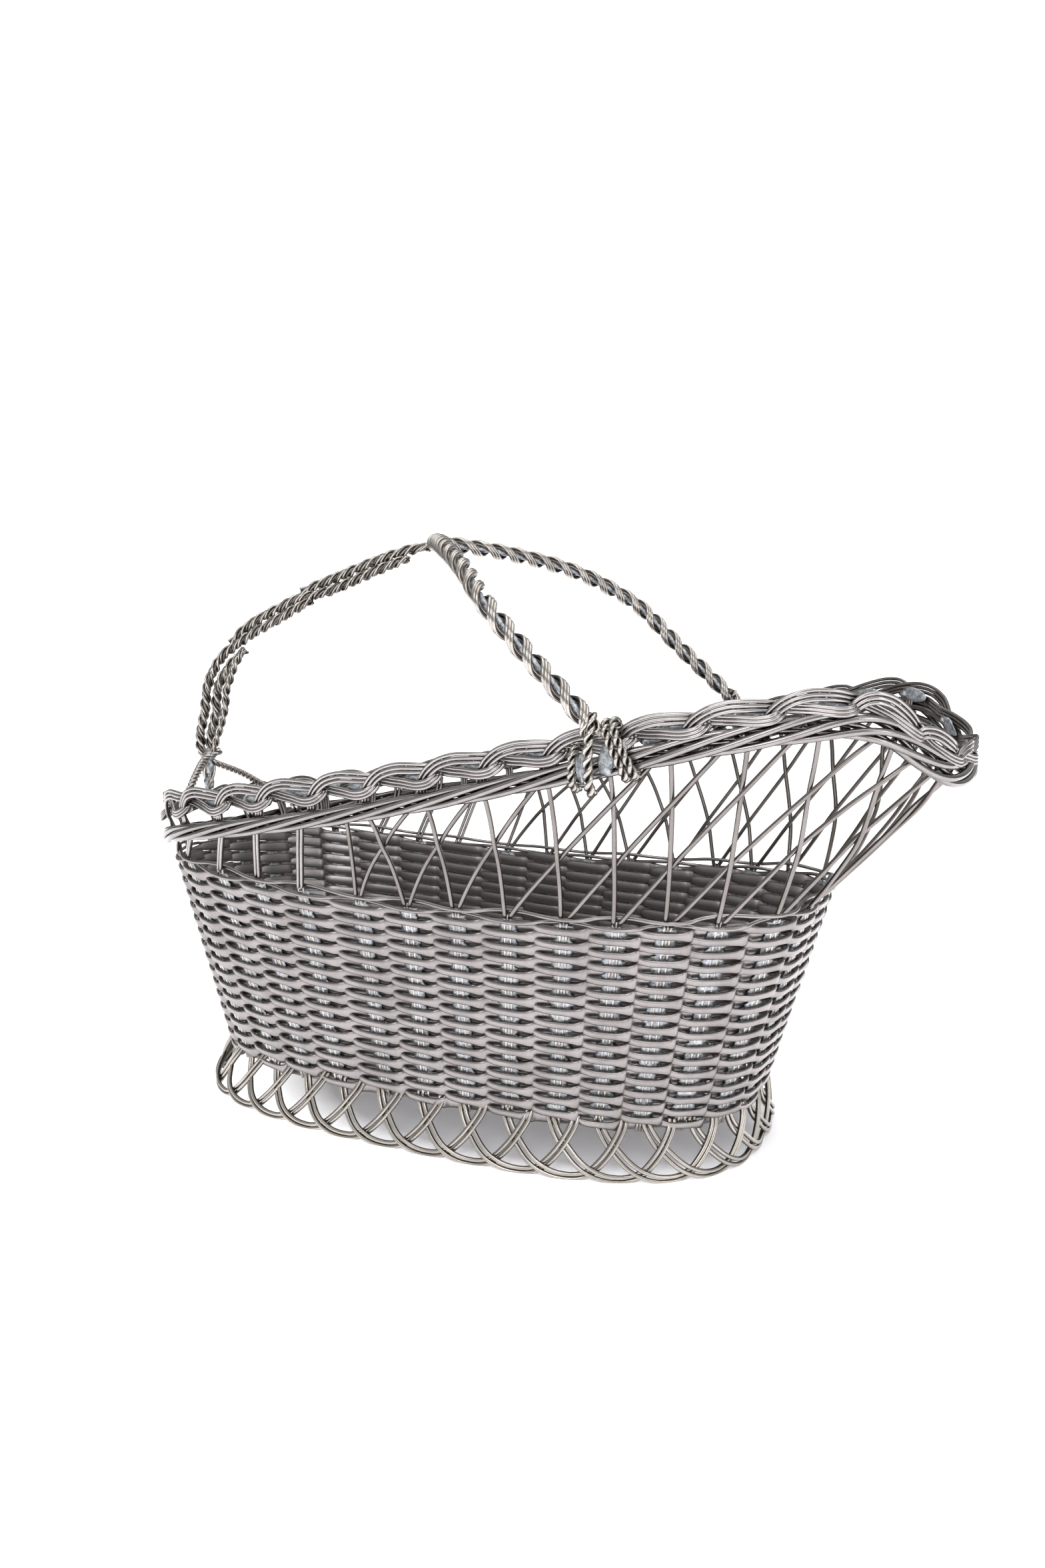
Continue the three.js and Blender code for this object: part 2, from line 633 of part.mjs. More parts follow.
Object.entries(bindingOffsets).forEach(([name, offset]) => {
  const near = buildBinding(offset);
  addPiece(`binding_near_${name}`, near);
  addPiece(`binding_far_${name}`, mirrored(near));
});

// The origin is under the middle of the whole basket's box.
basket.updateMatrixWorld(true);
const box = new THREE.Box3().setFromObject(basket);
const centre = box.getCenter(new THREE.Vector3());
basket.children.forEach((mesh) => mesh.position.set(-centre.x, -centre.y, -box.min.z));

export default basket;
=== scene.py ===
import math
import bmesh
import bpy
import numpy as np
from mathutils import Matrix, Vector
from mathutils import noise as bumps


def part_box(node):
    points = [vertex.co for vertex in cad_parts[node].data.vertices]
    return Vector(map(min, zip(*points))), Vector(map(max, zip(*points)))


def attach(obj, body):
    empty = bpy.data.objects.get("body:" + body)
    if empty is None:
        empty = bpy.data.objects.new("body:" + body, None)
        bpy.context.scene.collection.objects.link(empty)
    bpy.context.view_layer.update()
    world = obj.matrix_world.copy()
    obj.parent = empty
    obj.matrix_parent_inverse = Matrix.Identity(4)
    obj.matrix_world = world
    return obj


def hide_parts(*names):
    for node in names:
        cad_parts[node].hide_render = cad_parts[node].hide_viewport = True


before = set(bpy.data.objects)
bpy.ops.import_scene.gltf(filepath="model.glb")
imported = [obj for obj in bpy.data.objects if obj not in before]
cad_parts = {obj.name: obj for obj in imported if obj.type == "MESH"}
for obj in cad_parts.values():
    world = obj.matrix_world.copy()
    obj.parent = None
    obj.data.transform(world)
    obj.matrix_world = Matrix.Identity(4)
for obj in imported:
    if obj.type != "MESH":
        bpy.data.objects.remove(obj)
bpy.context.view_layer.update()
random = np.random.RandomState(7)

# Lengths are millimetres and heights are above the ground. +X is the spout, and -Y the side in view.
footOval = dict(halfLength=106, halfWidth=61.9, centreX=0, power=2.8)
weaveFootOval = dict(halfLength=102.5, halfWidth=56.6, centreX=2.5, power=2.9)
weaveTopOval = dict(halfLength=121, halfWidth=61, centreX=2.8, power=3.6)
rimOval = dict(halfLength=139, rearHalfWidth=76.7, frontHalfWidth=72.9, centreX=23.8, rearPower=3.2,
               frontPower=2.7)
heights = dict(foot=17.4, weave=66, endRise=5.9, forwardDrop=2.3, seat=0.3)
lip = dict(dip=18.7, spread=45.6, power=6)
rimRise = [0, 15.4, 15.4, 51.5, 52.5]

up = np.array([0.0, 0.0, 1.0])


def unit(v):
    v = np.asarray(v, float)
    return v / np.maximum(np.linalg.norm(v, axis=-1, keepdims=True), 1e-12)


def ovalPoints(oval, angle):
    c, s = np.cos(angle), np.sin(angle)
    power = oval["power"] if "power" in oval else np.where(c > 0, oval["frontPower"], oval["rearPower"])
    along = np.sign(c) * np.abs(c) ** (2 / power)
    rear = oval.get("rearHalfWidth", oval.get("halfWidth"))
    front = oval.get("frontHalfWidth", oval.get("halfWidth"))
    halfWidth = rear + (front - rear) * (along + 1) / 2
    y = halfWidth * np.sign(s) * np.abs(s) ** (2 / power)
    return oval["centreX"] + oval["halfLength"] * along, y, along


class OvalLine:
    # A closed line measured by its length from 0 to 1: rear, near side, front, far side.
    def __init__(self, oval, heightAt):
        x, y, along = ovalPoints(oval, np.pi + np.linspace(0, 2 * np.pi, 1441))
        self.points = np.stack([x, y, heightAt(along, y)], -1)
        steps = np.linalg.norm(np.diff(self.points, axis=0), axis=1)
        self.lengths = np.concatenate([[0], np.cumsum(steps)])
        self.total = self.lengths[-1]

    def point(self, t):
        wanted = (np.asarray(t, float) % 1) * self.total
        return np.stack([np.interp(wanted, self.lengths, self.points[:, k]) for k in range(3)], -1)

    def tangent(self, t):
        return unit(self.point(np.asarray(t) + 0.002) - self.point(np.asarray(t) - 0.002))

    def out(self, t):
        tangent = self.tangent(t)
        return unit(np.stack([tangent[..., 1], -tangent[..., 0], 0 * tangent[..., 0]], -1))


def weaveTopZ(along, y=None):
    top = heights["foot"] + heights["weave"]
    return top - heights["forwardDrop"] * along + heights["endRise"] * along ** 2


def rimZ(along, y):
    # A Bezier rise from rear to front, with the dip of the lip.
    s = (along + 1) / 2
    weights = [math.comb(4, i) * s ** i * (1 - s) ** (4 - i) for i in range(5)]
    rise = sum(rise * weight for rise, weight in zip(rimRise, weights))
    dip = lip["dip"] * np.exp(-(np.abs(y / lip["spread"]) ** lip["power"])) * np.maximum(along, 0) ** 2
    return weaveTopZ(-1) + heights["seat"] + rise - dip


footLine = OvalLine(footOval, lambda along, y: 0 * along)
weaveFootLine = OvalLine(weaveFootOval, lambda along, y: heights["foot"] + 0 * along)
weaveTopLine = OvalLine(weaveTopOval, weaveTopZ)
rimLine = OvalLine(rimOval, rimZ)
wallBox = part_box("woven_wall")
# The frame's origin is under the middle of the whole box, and the ovals' under the middle of the foot.
shiftX = 500 * (wallBox[0][0] + wallBox[1][0]) - weaveTopOval["centreX"]

# Where the stakes stand. The near side's stakes 3 to 16 are off an even spacing by the drift, and the far
# side's are their mirror.
stakes = dict(count=35, first=0.5, straight=7, wire=0.5, apart=0.98, lean=0.27, inset=2.2, middleInset=0.2,
              middleShare=0.9)
stakeDrift = [-0.24, -0.12, -0.1, -0.09, 0.17, 0.18, 0.14, 0.13, 0.15, 0.06, -0.08, -0.22, -0.16, -0.08]
driftList = np.zeros(stakes["count"] + 1)
driftList[3:17] = stakeDrift
driftList[:-1] -= driftList[-2::-1]


def evenAt(index):
    return (np.asarray(index, float) + stakes["first"]) / stakes["count"]


def stakeAt(index):
    index = np.asarray(index, float)
    drift = np.interp(index % stakes["count"], np.arange(stakes["count"] + 1), driftList)
    return evenAt(index + drift)


def wallPoint(t, share):
    # On the middle surface of the weave, from its foot (0) to its top (1).
    t, share = np.broadcast_arrays(np.asarray(t, float), np.asarray(share, float))
    low, high = weaveFootLine.point(t), weaveTopLine.point(t)
    return low + (high - low) * share[..., None] - stakes["inset"] * weaveFootLine.out(t)


# The far side and the rear hang a little lower than the mirror of the near side. A pair is the place where
# something begins and the length over which it grows to the full.
sag = dict(far=[(-120, 3.6), (-20, 2.5), (60, 1.9), (140, 0.5)], rear=1.4, most=1.6, acrossPair=(-20, 80),
           backPair=(90, 25), risePair=(80, 15))


def grown(value, pair):
    return np.clip((value - pair[0]) / pair[1], 0, 1)


def sagged(points):
    p = np.array(points, float)
    side = grown(p[..., 1], sag["acrossPair"])
    height = np.clip((p[..., 2] - heights["foot"]) / heights["weave"], 0, sag["most"])
    rear = grown(-p[..., 0], sag["backPair"]) * grown(p[..., 2], sag["risePair"]) * (1 - side)
    p[..., 2] -= side * height * np.interp(p[..., 0], *np.array(sag["far"]).T) + rear * sag["rear"]
    return p


# Paths and tubes.
def smoothPath(points, steps):
    # Catmull-Rom through the points, with the same number of steps between each two.
    p = np.asarray(points, float)
    p = np.vstack([2 * p[0] - p[1], p, 2 * p[-1] - p[-2]])
    u = np.linspace(0, 1, steps, endpoint=False)[:, None]
    parts = []
    for i in range(1, len(p) - 2):
        a, b, c, d = p[i - 1], p[i], p[i + 1], p[i + 2]
        square, cube = 2 * a - 5 * b + 4 * c - d, 3 * b - a - 3 * c + d
        parts.append(0.5 * (2 * b + (c - a) * u + square * u ** 2 + cube * u ** 3))
    return np.vstack(parts + [p[-2][None, :]])


def smoothValue(at, knots):
    # A smooth curve through (place, value) pairs.
    curve = smoothPath(knots, 8)
    return np.interp(at, curve[:, 0], curve[:, 1])


def tangents(path, closed=False):
    if closed:
        return unit(np.roll(path, -1, axis=0) - np.roll(path, 1, axis=0))
    return unit(np.gradient(path, axis=0))


def carriedNormals(path, first):
    # Normals carried along the path with no twist of their own.
    t = tangents(path)
    normals = np.zeros_like(path)
    n = np.asarray(first, float)
    for i in range(len(path)):
        n = n - t[i] * n.dot(t[i])
        n = n / np.linalg.norm(n)
        normals[i] = n
    return normals


def lengthsOf(path):
    return np.concatenate([[0], np.cumsum(np.linalg.norm(np.diff(path, axis=0), axis=1))])


def resample(path, step):
    s = lengthsOf(path)
    count = max(int(math.ceil(s[-1] / step)), 2)
    wanted = np.linspace(0, s[-1], count + 1)
    return np.stack([np.interp(wanted, s, path[:, k]) for k in range(3)], -1)


class Tubes:
    # Collects swept wires into one mesh with UVs: u runs along the wire, v round it from its outer side.
    def __init__(self, sag=True):
        self.vertices, self.faces, self.uvs, self.count, self.sag = [], [], [], 0, sag

    def add(self, path, normals, thick, wide=None, sides=8, closed=False, power=2.0):
        path = np.asarray(path, float)
        wide = thick if wide is None else wide
        t = tangents(path, closed)
        n = np.asarray(normals, float)
        n = unit(n - t * (n * t).sum(-1, keepdims=True))
        b = np.cross(t, n)
        angle = 2 * np.pi * np.arange(sides) / sides
        c, s = np.cos(angle), np.sin(angle)
        c, s = np.sign(c) * np.abs(c) ** (2 / power), np.sign(s) * np.abs(s) ** (2 / power)
        count = len(path)
        thick = np.broadcast_to(thick, (count,))[:, None, None]
        wide = np.broadcast_to(wide, (count,))[:, None, None]
        ring = n[:, None, :] * c[None, :, None] * thick + b[:, None, :] * s[None, :, None] * wide
        self.vertices.append((path[:, None, :] + ring).reshape(-1, 3))
        i, k = np.meshgrid(np.arange(count if closed else count - 1), np.arange(sides), indexing="ij")
        j, m = (i + 1) % count, (k + 1) % sides
        quads = np.stack([i * sides + k, i * sides + m, j * sides + m, j * sides + k], -1)
        self.faces.append(quads.reshape(-1, 4) + self.count)
        along = lengthsOf(path)
        along = np.append(along, along[-1] + np.linalg.norm(path[0] - path[-1])) if closed else along
        u0, u1 = along[i] / 10, along[i + 1] / 10
        v0, v1 = k / sides, (k + 1) / sides
        self.uvs.append(np.stack([u0, v0, u0, v1, u1, v1, u1, v0], -1).reshape(-1, 2))
        if not closed:
            first = self.count
            last = self.count + (count - 1) * sides
            for ends in (range(first + sides - 1, first - 1, -1), range(last, last + sides)):
                self.faces.append(np.array([list(ends)]))
                self.uvs.append(np.zeros((sides, 2)) + [0, 0.5])
        self.count += count * sides

    def build(self, name, material, nodes=()):
        vertices = np.vstack(self.vertices)
        vertices = ((sagged(vertices) if self.sag else vertices) + [shiftX, 0, 0]) / 1000
        mesh = bpy.data.meshes.new(name)
        sizes = np.concatenate([np.full(len(f), f.shape[1]) for f in self.faces])
        loops = np.concatenate([f.reshape(-1) for f in self.faces])
        mesh.vertices.add(len(vertices))
        mesh.vertices.foreach_set("co", vertices.reshape(-1))
        mesh.loops.add(len(loops))
        mesh.loops.foreach_set("vertex_index", loops)
        mesh.polygons.add(len(sizes))
        mesh.polygons.foreach_set("loop_start", np.concatenate([[0], np.cumsum(sizes)[:-1]]))
        mesh.polygons.foreach_set("use_smooth", sizes == 4)
        mesh.uv_layers.new(name="wire").data.foreach_set("uv", np.vstack(self.uvs).reshape(-1))
        mesh.update(calc_edges=True)
        mesh.validate()
        finishPiece(name, mesh, material, nodes)


def finishPiece(name, mesh, material, nodes=()):
    mesh.materials.append(material)
    piece = bpy.data.objects.new(name, mesh)
    bpy.context.collection.objects.link(piece)
    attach(piece, "root")
    if nodes:
        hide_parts(*nodes)
    print("piece", piece.name, len(piece.data.polygons))


def addPair(tubes, path, normals, radius, spread, sides=8):
    # Two wires side by side, across the path and in its surface.
    t = tangents(path)
    n = unit(normals - t * (normals * t).sum(-1, keepdims=True))
    across = np.cross(t, n) * np.broadcast_to(spread, (len(path),))[:, None]
    for side in (-1, 1):
        tubes.add(path + side * across, normals, radius, sides=sides)


def addTwist(tubes, path, first, count, radius, spread, turn, sides=8):
    # Wires twisted round a path: turn is the length of one full turn.
    normals = carriedNormals(path, first)
    across = np.cross(tangents(path), normals)
    s = lengthsOf(path)
    for k in range(count):
        angle = 2 * np.pi * (s / turn + k / count)
        side = normals * np.cos(angle)[:, None] + across * np.sin(angle)[:, None]
        tubes.add(path + side * spread, side, radius, sides=sides)


def addRope(tubes, path, first, rope, sides=7, endLength=5):
    # Strands twisted round the path, each of them wires twisted round the strand, and some with a core
    # wire. The strands close in at both ends.
    normals = carriedNormals(path, first)
    across = np.cross(tangents(path), normals)
    s = lengthsOf(path)
    end = np.clip(np.minimum(s, s[-1] - s) / endLength, rope["closeEnds"], 1)
    if "core" in rope:
        tubes.add(path, normals, rope["core"], sides=sides)
    for k in range(rope["strands"]):
        angle = 2 * np.pi * (s / rope["turn"] + k / rope["strands"])
        side = normals * np.cos(angle)[:, None] + across * np.sin(angle)[:, None]
        strand = path + side * (rope["spread"] * end)[:, None]
        addTwist(tubes, strand, side[0], rope["wires"], rope["wire"], rope["wireSpread"], rope["wireTurn"],
                 sides=sides)


def solderLumps(name, lumps, rough=0.3, grain=0.55):
    # Each lump is a centre, two half axes as vectors and a half thickness, and its surface is uneven.
    mesh = bpy.data.meshes.new(name)
    built = bmesh.new()
    for centre, first, second, thick in lumps:
        centre = Vector(sagged(centre).tolist())
        third = unit(np.cross(first, second)) * thick
        turn = Matrix(np.stack([first, second, third], -1).tolist()).to_4x4()
        place = Matrix.Translation(centre) @ turn
        made = bmesh.ops.create_icosphere(built, subdivisions=3, radius=1, matrix=place)
        for vertex in made["verts"]:
            away = (vertex.co - centre).normalized()
            vertex.co += away * bumps.noise(vertex.co * grain) * rough * 2
    for vertex in built.verts:
        vertex.co = (vertex.co + Vector((shiftX, 0, 0))) / 1000
    for face in built.faces:
        face.smooth = True
    built.to_mesh(mesh)
    built.free()
    finishPiece(name, mesh, solderGrey)


# Shader maths: small wrappers so that colours and masks read as formulas.
class Shade:
    def __init__(self, tree, socket):
        self.tree, self.socket = tree, socket

    def node(self, kind, *inputs, output=0, **settings):
        made = self.tree.nodes.new(kind)
        for key, value in settings.items():
            setattr(made, key, value)
        for target, value in inputs:
            if isinstance(value, Shade):
                self.tree.links.new(value.socket, made.inputs[target])
            else:
                made.inputs[target].default_value = value
        return Shade(self.tree, made.outputs[output])

    def math(self, operation, other=0.0, clamp=False):
        return self.node("ShaderNodeMath", (0, self), (1, other), operation=operation, use_clamp=clamp)

    def __add__(self, other):
        return self.math("ADD", other)

    def __sub__(self, other):
        return self.math("SUBTRACT", other)

    def __rsub__(self, other):
        return self * -1 + other

    def __mul__(self, other):
        return self.math("MULTIPLY", other)

    def clamped(self):
        return self.math("ADD", 0.0, clamp=True)

    def spread(self, low, high, toLow=0.0, toHigh=1.0):
        return self.node("ShaderNodeMapRange", (0, self), (1, low), (2, high), (3, toLow), (4, toHigh))

    def blend(self, first, second):
        return self.node("ShaderNodeMix", (0, self), (6, (*first, 1)), (7, (*second, 1)), output=2,
                         data_type="RGBA")


def newMaterial(name):
    material = bpy.data.materials.new(name)
    material.use_nodes = True
    tree = material.node_tree
    coords = tree.nodes.new("ShaderNodeTexCoord").outputs
    return material, tree.nodes["Principled BSDF"], Shade(tree, coords["Object"]), Shade(tree, coords["UV"])


def noise(place, scale, detail=3.0, roughness=0.5):
    return place.node("ShaderNodeTexNoise", ("Vector", place), ("Scale", scale), ("Detail", detail),
                      ("Roughness", roughness))


def bumped(shader, height, strength, distance):
    bump = height.node("ShaderNodeBump", ("Height", height), ("Strength", strength), ("Distance", distance))
    height.tree.links.new(bump.socket, shader.inputs["Normal"])


# Silver plate: bright on the outer side of each wire, with painted shade and painted dark reflection on its
# flanks, painted shade on its lower side, and patina in patches. Edge is where the flank begins, inside is
# how much the inner side is lightened as painted light, and tilt turns the bright side upwards as painted
# light from above.
# Painted light and shade: each look is the same silver plate, made lighter or darker per part for how light
# falls on it.
silverLooks = dict(
    weaver=dict(bright=(0.345, 0.32, 0.314), dark=(0.075, 0.065, 0.06), edge=-0.25, rough=0.28, flankShade=0.75,
                tilt=0.07, low=0.3, inside=0.8),
    wire=dict(bright=(0.355, 0.334, 0.327), dark=(0.085, 0.076, 0.07), edge=0.0, rough=0.17, flankShade=0.9,
              tilt=0.02, low=0.15, inside=0.2),
    border=dict(bright=(0.45, 0.425, 0.417), dark=(0.10, 0.09, 0.084), edge=0.0, rough=0.18, flankShade=0.85,
                tilt=0.02, low=0.15, inside=0.2),
    lattice=dict(bright=(0.27, 0.248, 0.236), dark=(0.08, 0.07, 0.062), edge=-0.05, rough=0.2, flankShade=0.9,
                 tilt=0.04, low=0.15, inside=0.3),
    foot=dict(bright=(0.50, 0.465, 0.425), dark=(0.07, 0.06, 0.048), edge=0.0, rough=0.22, flankShade=0.9,
              tilt=0.02, low=0.1, inside=0),
    stake=dict(bright=(0.60, 0.565, 0.54), dark=(0.10, 0.09, 0.08), edge=-0.55, rough=0.3, flankShade=0.6,
               tilt=0, low=0, inside=0),
    rope=dict(bright=(0.54, 0.505, 0.47), dark=(0.09, 0.08, 0.07), edge=-0.2, rough=0.18, flankShade=0.85,
              tilt=0, low=0, inside=0.2),
)
silverGrain = dict(
    flankWidth=0.75, innerSide=(-0.1, -0.5),
    patchScale=95.0, patchEdges=(0.38, 0.66), patches=0.22,
    speckScale=900.0, specks=0.25,
    dullPatches=0.1, dullSpecks=0.12, dullFlank=0.08,
    rippleScale=420.0, ripple=0.12, rippleDepth=0.00012,
)


def silverMaterial(name, look):
    material, shader, place, uv = newMaterial(name)
    grain = silverGrain
    around = uv.node("ShaderNodeSeparateXYZ", (0, uv), output=1)
    # Painted light: tilt turns the bright side of each wire upwards, as if lit from above.
    facing = ((around + look["tilt"]) * (2 * math.pi)).math("COSINE")
    # Painted shade: the lower side of each wire is darkened in its colour.
    below = (around * (2 * math.pi)).math("SINE", clamp=True)
    patches = noise(place, grain["patchScale"], 4.0).spread(*grain["patchEdges"])
    fine = noise(place, grain["speckScale"])
    # Painted shade and painted dark reflection: the flanks of each wire, away from its outer side, are
    # darkened in its colour.
    flank = facing.spread(look["edge"], look["edge"] + grain["flankWidth"], 1.0, 0.0)
    # Painted light: the inner side of each wire is lightened in its colour.
    inner = facing.spread(*grain["innerSide"]) * look["inside"]
    # Painted shade on the flanks and lower side, less painted light on the inner side, with patina in
    # patches and specks.
    tarnishAndShade = flank * look["flankShade"] + below * look["low"] + patches * grain["patches"]
    tarnishAndShade = (tarnishAndShade + (fine - 0.5) * grain["specks"] - inner).clamped()
    tarnishAndShade.tree.links.new(tarnishAndShade.blend(look["bright"], look["dark"]).socket, shader.inputs["Base Color"])
    dull = patches * grain["dullPatches"] + (fine - 0.5) * grain["dullSpecks"] + flank * grain["dullFlank"]
    tarnishAndShade.tree.links.new((dull + look["rough"]).socket, shader.inputs["Roughness"])
    shader.inputs["Metallic"].default_value = 1.0
    bumped(shader, noise(place, grain["rippleScale"], 2.0), grain["ripple"], grain["rippleDepth"])
    return material


solderLook = dict(
    bright=(0.70, 0.74, 0.78), dark=(0.14, 0.146, 0.152), rough=0.25, metal=0.9,
    lumpScale=700.0, lumpEdges=(0.35, 0.65), lumps=0.7, dullLumps=0.25, bump=0.9, lumpDepth=0.0004,
    patchScale=160.0, patches=0.3,
)


def solderMaterial():
    material, shader, place = newMaterial("solder")[:3]
    look = solderLook
    lumps = noise(place, look["lumpScale"], 4.0, 0.65)
    patches = noise(place, look["patchScale"]) * look["patches"]
    mixed = lumps.spread(*look["lumpEdges"]) * look["lumps"] + patches
    mixed.tree.links.new(mixed.blend(look["dark"], look["bright"]).socket, shader.inputs["Base Color"])
    mixed.tree.links.new((lumps * look["dullLumps"] + look["rough"]).socket, shader.inputs["Roughness"])
    shader.inputs["Metallic"].default_value = look["metal"]
    bumped(shader, lumps, look["bump"], look["lumpDepth"])
    return material


silver = {kind: silverMaterial(kind + "_silver", look) for kind, look in silverLooks.items()}
solderGrey = solderMaterial()
print("materials made")

# The weave: one flat wire climbs in a spiral, in front of one stake and behind the next. It lifts and thins
# where it comes to the front (hook, startThin), and is taller behind (back), so that the wall is closed.
weave = dict(courses=32, roundCourses=2, groups=4, start=-0.018, climb=0.0327, tall=1.08, reach=1.2,
             slant=0.13, lag=0.22, hook=0.38, back=0.95)
flatWire = dict(thick=0.5, crispness=3.4, startThin=0.15, sides=10, power=2.9)
roundWire = dict(thick=0.64, wide=0.66, crispness=1.3, slope=0.45, sides=8, power=2.0)
wander = dict(reach=0.05, lift=0.09)
# Where it changes sides: how long the start lasts before and after, and when the taller part begins.
crossing = dict(before=0.35, after=0.2, steep=3, late=0.45, level=0.4)
stationOffsets = np.array([0, 0.17, 0.31, 0.39, 0.45, 0.5, 0.55, 0.61, 0.69, 0.83])


def weaveSpiral(tubes, surface, courses, sizes, wire=flatWire):
    count = stakes["count"]
    first, last = courses
    s = (np.arange(first * count, last * count)[:, None] + stationOffsets[None, :]).reshape(-1)
    s = np.append(s, last * count)
    c, q = np.cos(np.pi * s), np.sin(np.pi * s)
    crisp = wire["crispness"]
    wobble = random.normal(0, 1, (2, (last - first) * count + 2))
    place = s - first * count
    nearest = np.floor(place + 0.5).astype(int)
    swing = np.tanh(crisp * (c + sizes["lag"] * np.sin(2 * np.pi * s))) / np.tanh(crisp)
    radial = swing * sizes["reach"] * (1 + wander["reach"] * wobble[0][nearest])
    lift = -sizes["slant"] * q + wander["lift"] * np.interp(place, np.arange(wobble.shape[1]), wobble[1])
    # From where the wire comes to the front: 0 there, 1 where it goes behind, and -1 to 0 behind.
    step = np.where(np.floor(s + 0.5) % 2 == 0, (s + 0.5) % 2, (s + 0.5) % 2 - 2)
    start = np.exp(-((step / np.where(step > 0, crossing["after"], crossing["before"])) ** 2))
    base, out, upward = surface(s)
    if wire is flatWire:
        lift += sizes["hook"] * start
        behind = c + crossing["late"] * start - crossing["level"]
        rear = 0.5 - 0.5 * np.tanh(crossing["steep"] * behind)
        wide = sizes["tall"] * (1 - wire["startThin"] * start + sizes["back"] * rear)
    else:
        lift -= wire["slope"] * c
        wide = wire["wide"]
    path = base + out * radial[:, None] + upward * lift[:, None]
    tubes.add(path, out, wire["thick"], wide, sides=wire["sides"], power=wire["power"])


def wallSpiral(s):
    share = weave["start"] + weave["climb"] * s / stakes["count"]
    t = stakeAt(s % stakes["count"]) + stakes["lean"] * (1 - share) / stakes["count"]
    base = wallPoint(t, share)
    upward = unit(wallPoint(t, share + 0.01) - base)
    out = weaveFootLine.out(t)
    out = unit(out - upward * (out * upward).sum(-1, keepdims=True))
    return base, out, upward


flatTop = weave["courses"] - weave["roundCourses"]
edges = np.linspace(0, flatTop, weave["groups"] + 1).round().astype(int)
for group in range(weave["groups"]):
    tubes = Tubes()
    weaveSpiral(tubes, wallSpiral, (edges[group], edges[group + 1]), weave)
    nodes = ("woven_wall",) if group == 0 else ()
    tubes.build(f"weave_courses_{group + 1}", silver["weaver"], nodes)
tubes = Tubes()
weaveSpiral(tubes, wallSpiral, (flatTop, weave["courses"]), weave, roundWire)
tubes.build("weave_edge_wires", silver["weaver"])


# Stakes: three wires each, through the weave.
def stakePath(index, low=-0.04, high=1.0, steps=26):
    share = np.linspace(low, high, steps)
    t = stakeAt(index) + stakes["lean"] * (1 - share) / stakes["count"]
    return wallPoint(t, share), weaveFootLine.out(t)


tubes = Tubes()
for index in range(stakes["count"]):
    path, normals = stakePath(index)
    addPair(tubes, path, normals, stakes["wire"], stakes["apart"])
    tubes.add(path - normals * stakes["middleInset"], normals, stakes["wire"] * stakes["middleShare"])
tubes.build("stakes", silver["stake"])

# Solder behind the stakes, between the weavers.
solderStrip = dict(halfWidth=3.3, thick=0.5, inset=0.25, ragged=0.5, uneven=0.16, thinnest=0.2)
tubes = Tubes()
for index in range(stakes["count"]):
    path, normals = stakePath(index, 0.02, 0.97, 90)
    width = solderStrip["halfWidth"] + random.normal(0, solderStrip["ragged"], len(path))
    thick = solderStrip["thick"] + random.normal(0, solderStrip["uneven"], len(path))
    thick = np.maximum(thick, solderStrip["thinnest"])
    tubes.add(path - normals * solderStrip["inset"], normals, thick, width, sides=10)
tubes.build("solder_strips", solderGrey)

# Floor: the same weave, wound in from the foot of the wall to a short middle line.
floorWeave = dict(courses=22, height=1.6, margin=5, edgeGap=0.5, middleGap=1.0, reach=1.05, tall=1.0,
                  slant=0.1, lag=0, hook=0, back=0, stake=0.5, apart=0.52, steps=16)


def floorPoint(t, share):
    edge = weaveFootLine.point(t) - floorWeave["margin"] * weaveFootLine.out(t)
    core = (edge + [weaveFootOval["centreX"], 0, 0]) * [0.5, 0, 0]
    point = edge + (core - edge) * np.asarray(share)[..., None]
    point[..., 2] = heights["foot"] + floorWeave["height"]
    return point, unit((core - edge) * [1, 1, 0])


def floorSpiral(s):
    turns = floorWeave["edgeGap"] + floorWeave["courses"] + floorWeave["middleGap"]
    share = (s / stakes["count"] + floorWeave["edgeGap"]) / turns
    base, inward = floorPoint(evenAt(s % stakes["count"]), share)
    return base, np.broadcast_to(up, base.shape), inward


tubes = Tubes()
weaveSpiral(tubes, floorSpiral, (0, floorWeave["courses"]), floorWeave)
for index in range(stakes["count"]):
    share = np.linspace(0, 1, floorWeave["steps"])
    base = floorPoint(np.full(len(share), float(evenAt(index))), share)[0]
    upwards = np.broadcast_to(up, base.shape)
    addPair(tubes, base, upwards, floorWeave["stake"], floorWeave["apart"], sides=6)
tubes.build("floor_weave", silver["weaver"], ("floor",))
print("weave made")

# Foot border. Each loop: along in stake spacings, drop as a share of the foot's height, lift outwards
# and half the distance between its two wires.
footWire = dict(radius=0.73, inset=0.3, lean=0.21)
footLoop = [
    (0.10, -0.1, 0, 0.8), (0.10, 0.0, -0.1, 0.85), (0.22, 0.2, -0.4, 0.95), (0.36, 0.36, -0.2, 1.05),
    (0.50, 0.48, 0.2, 1.1), (0.75, 0.68, 0.7, 1.1), (1.00, 0.82, 0.7, 1.0), (1.30, 0.92, 0.2, 0.85),
    (1.60, 0.955, -0.4, 0.76), (1.85, 0.93, -0.7, 0.75), (2.05, 0.84, -0.4, 0.78), (2.22, 0.68, 0.1, 0.8),
    (2.38, 0.48, 0.6, 0.8), (2.50, 0.28, 0.9, 0.8), (2.60, 0.08, 0.8, 0.8), (2.64, -0.1, 0.2, 0.78),
]


def footPoint(t, drop, lift):
    low = footLine.point(t) - footWire["inset"] * footLine.out(t)
    high = wallPoint(t, 0.0)
    return high + (low - high) * np.asarray(drop)[..., None] + footLine.out(t) * np.asarray(lift)[..., None]


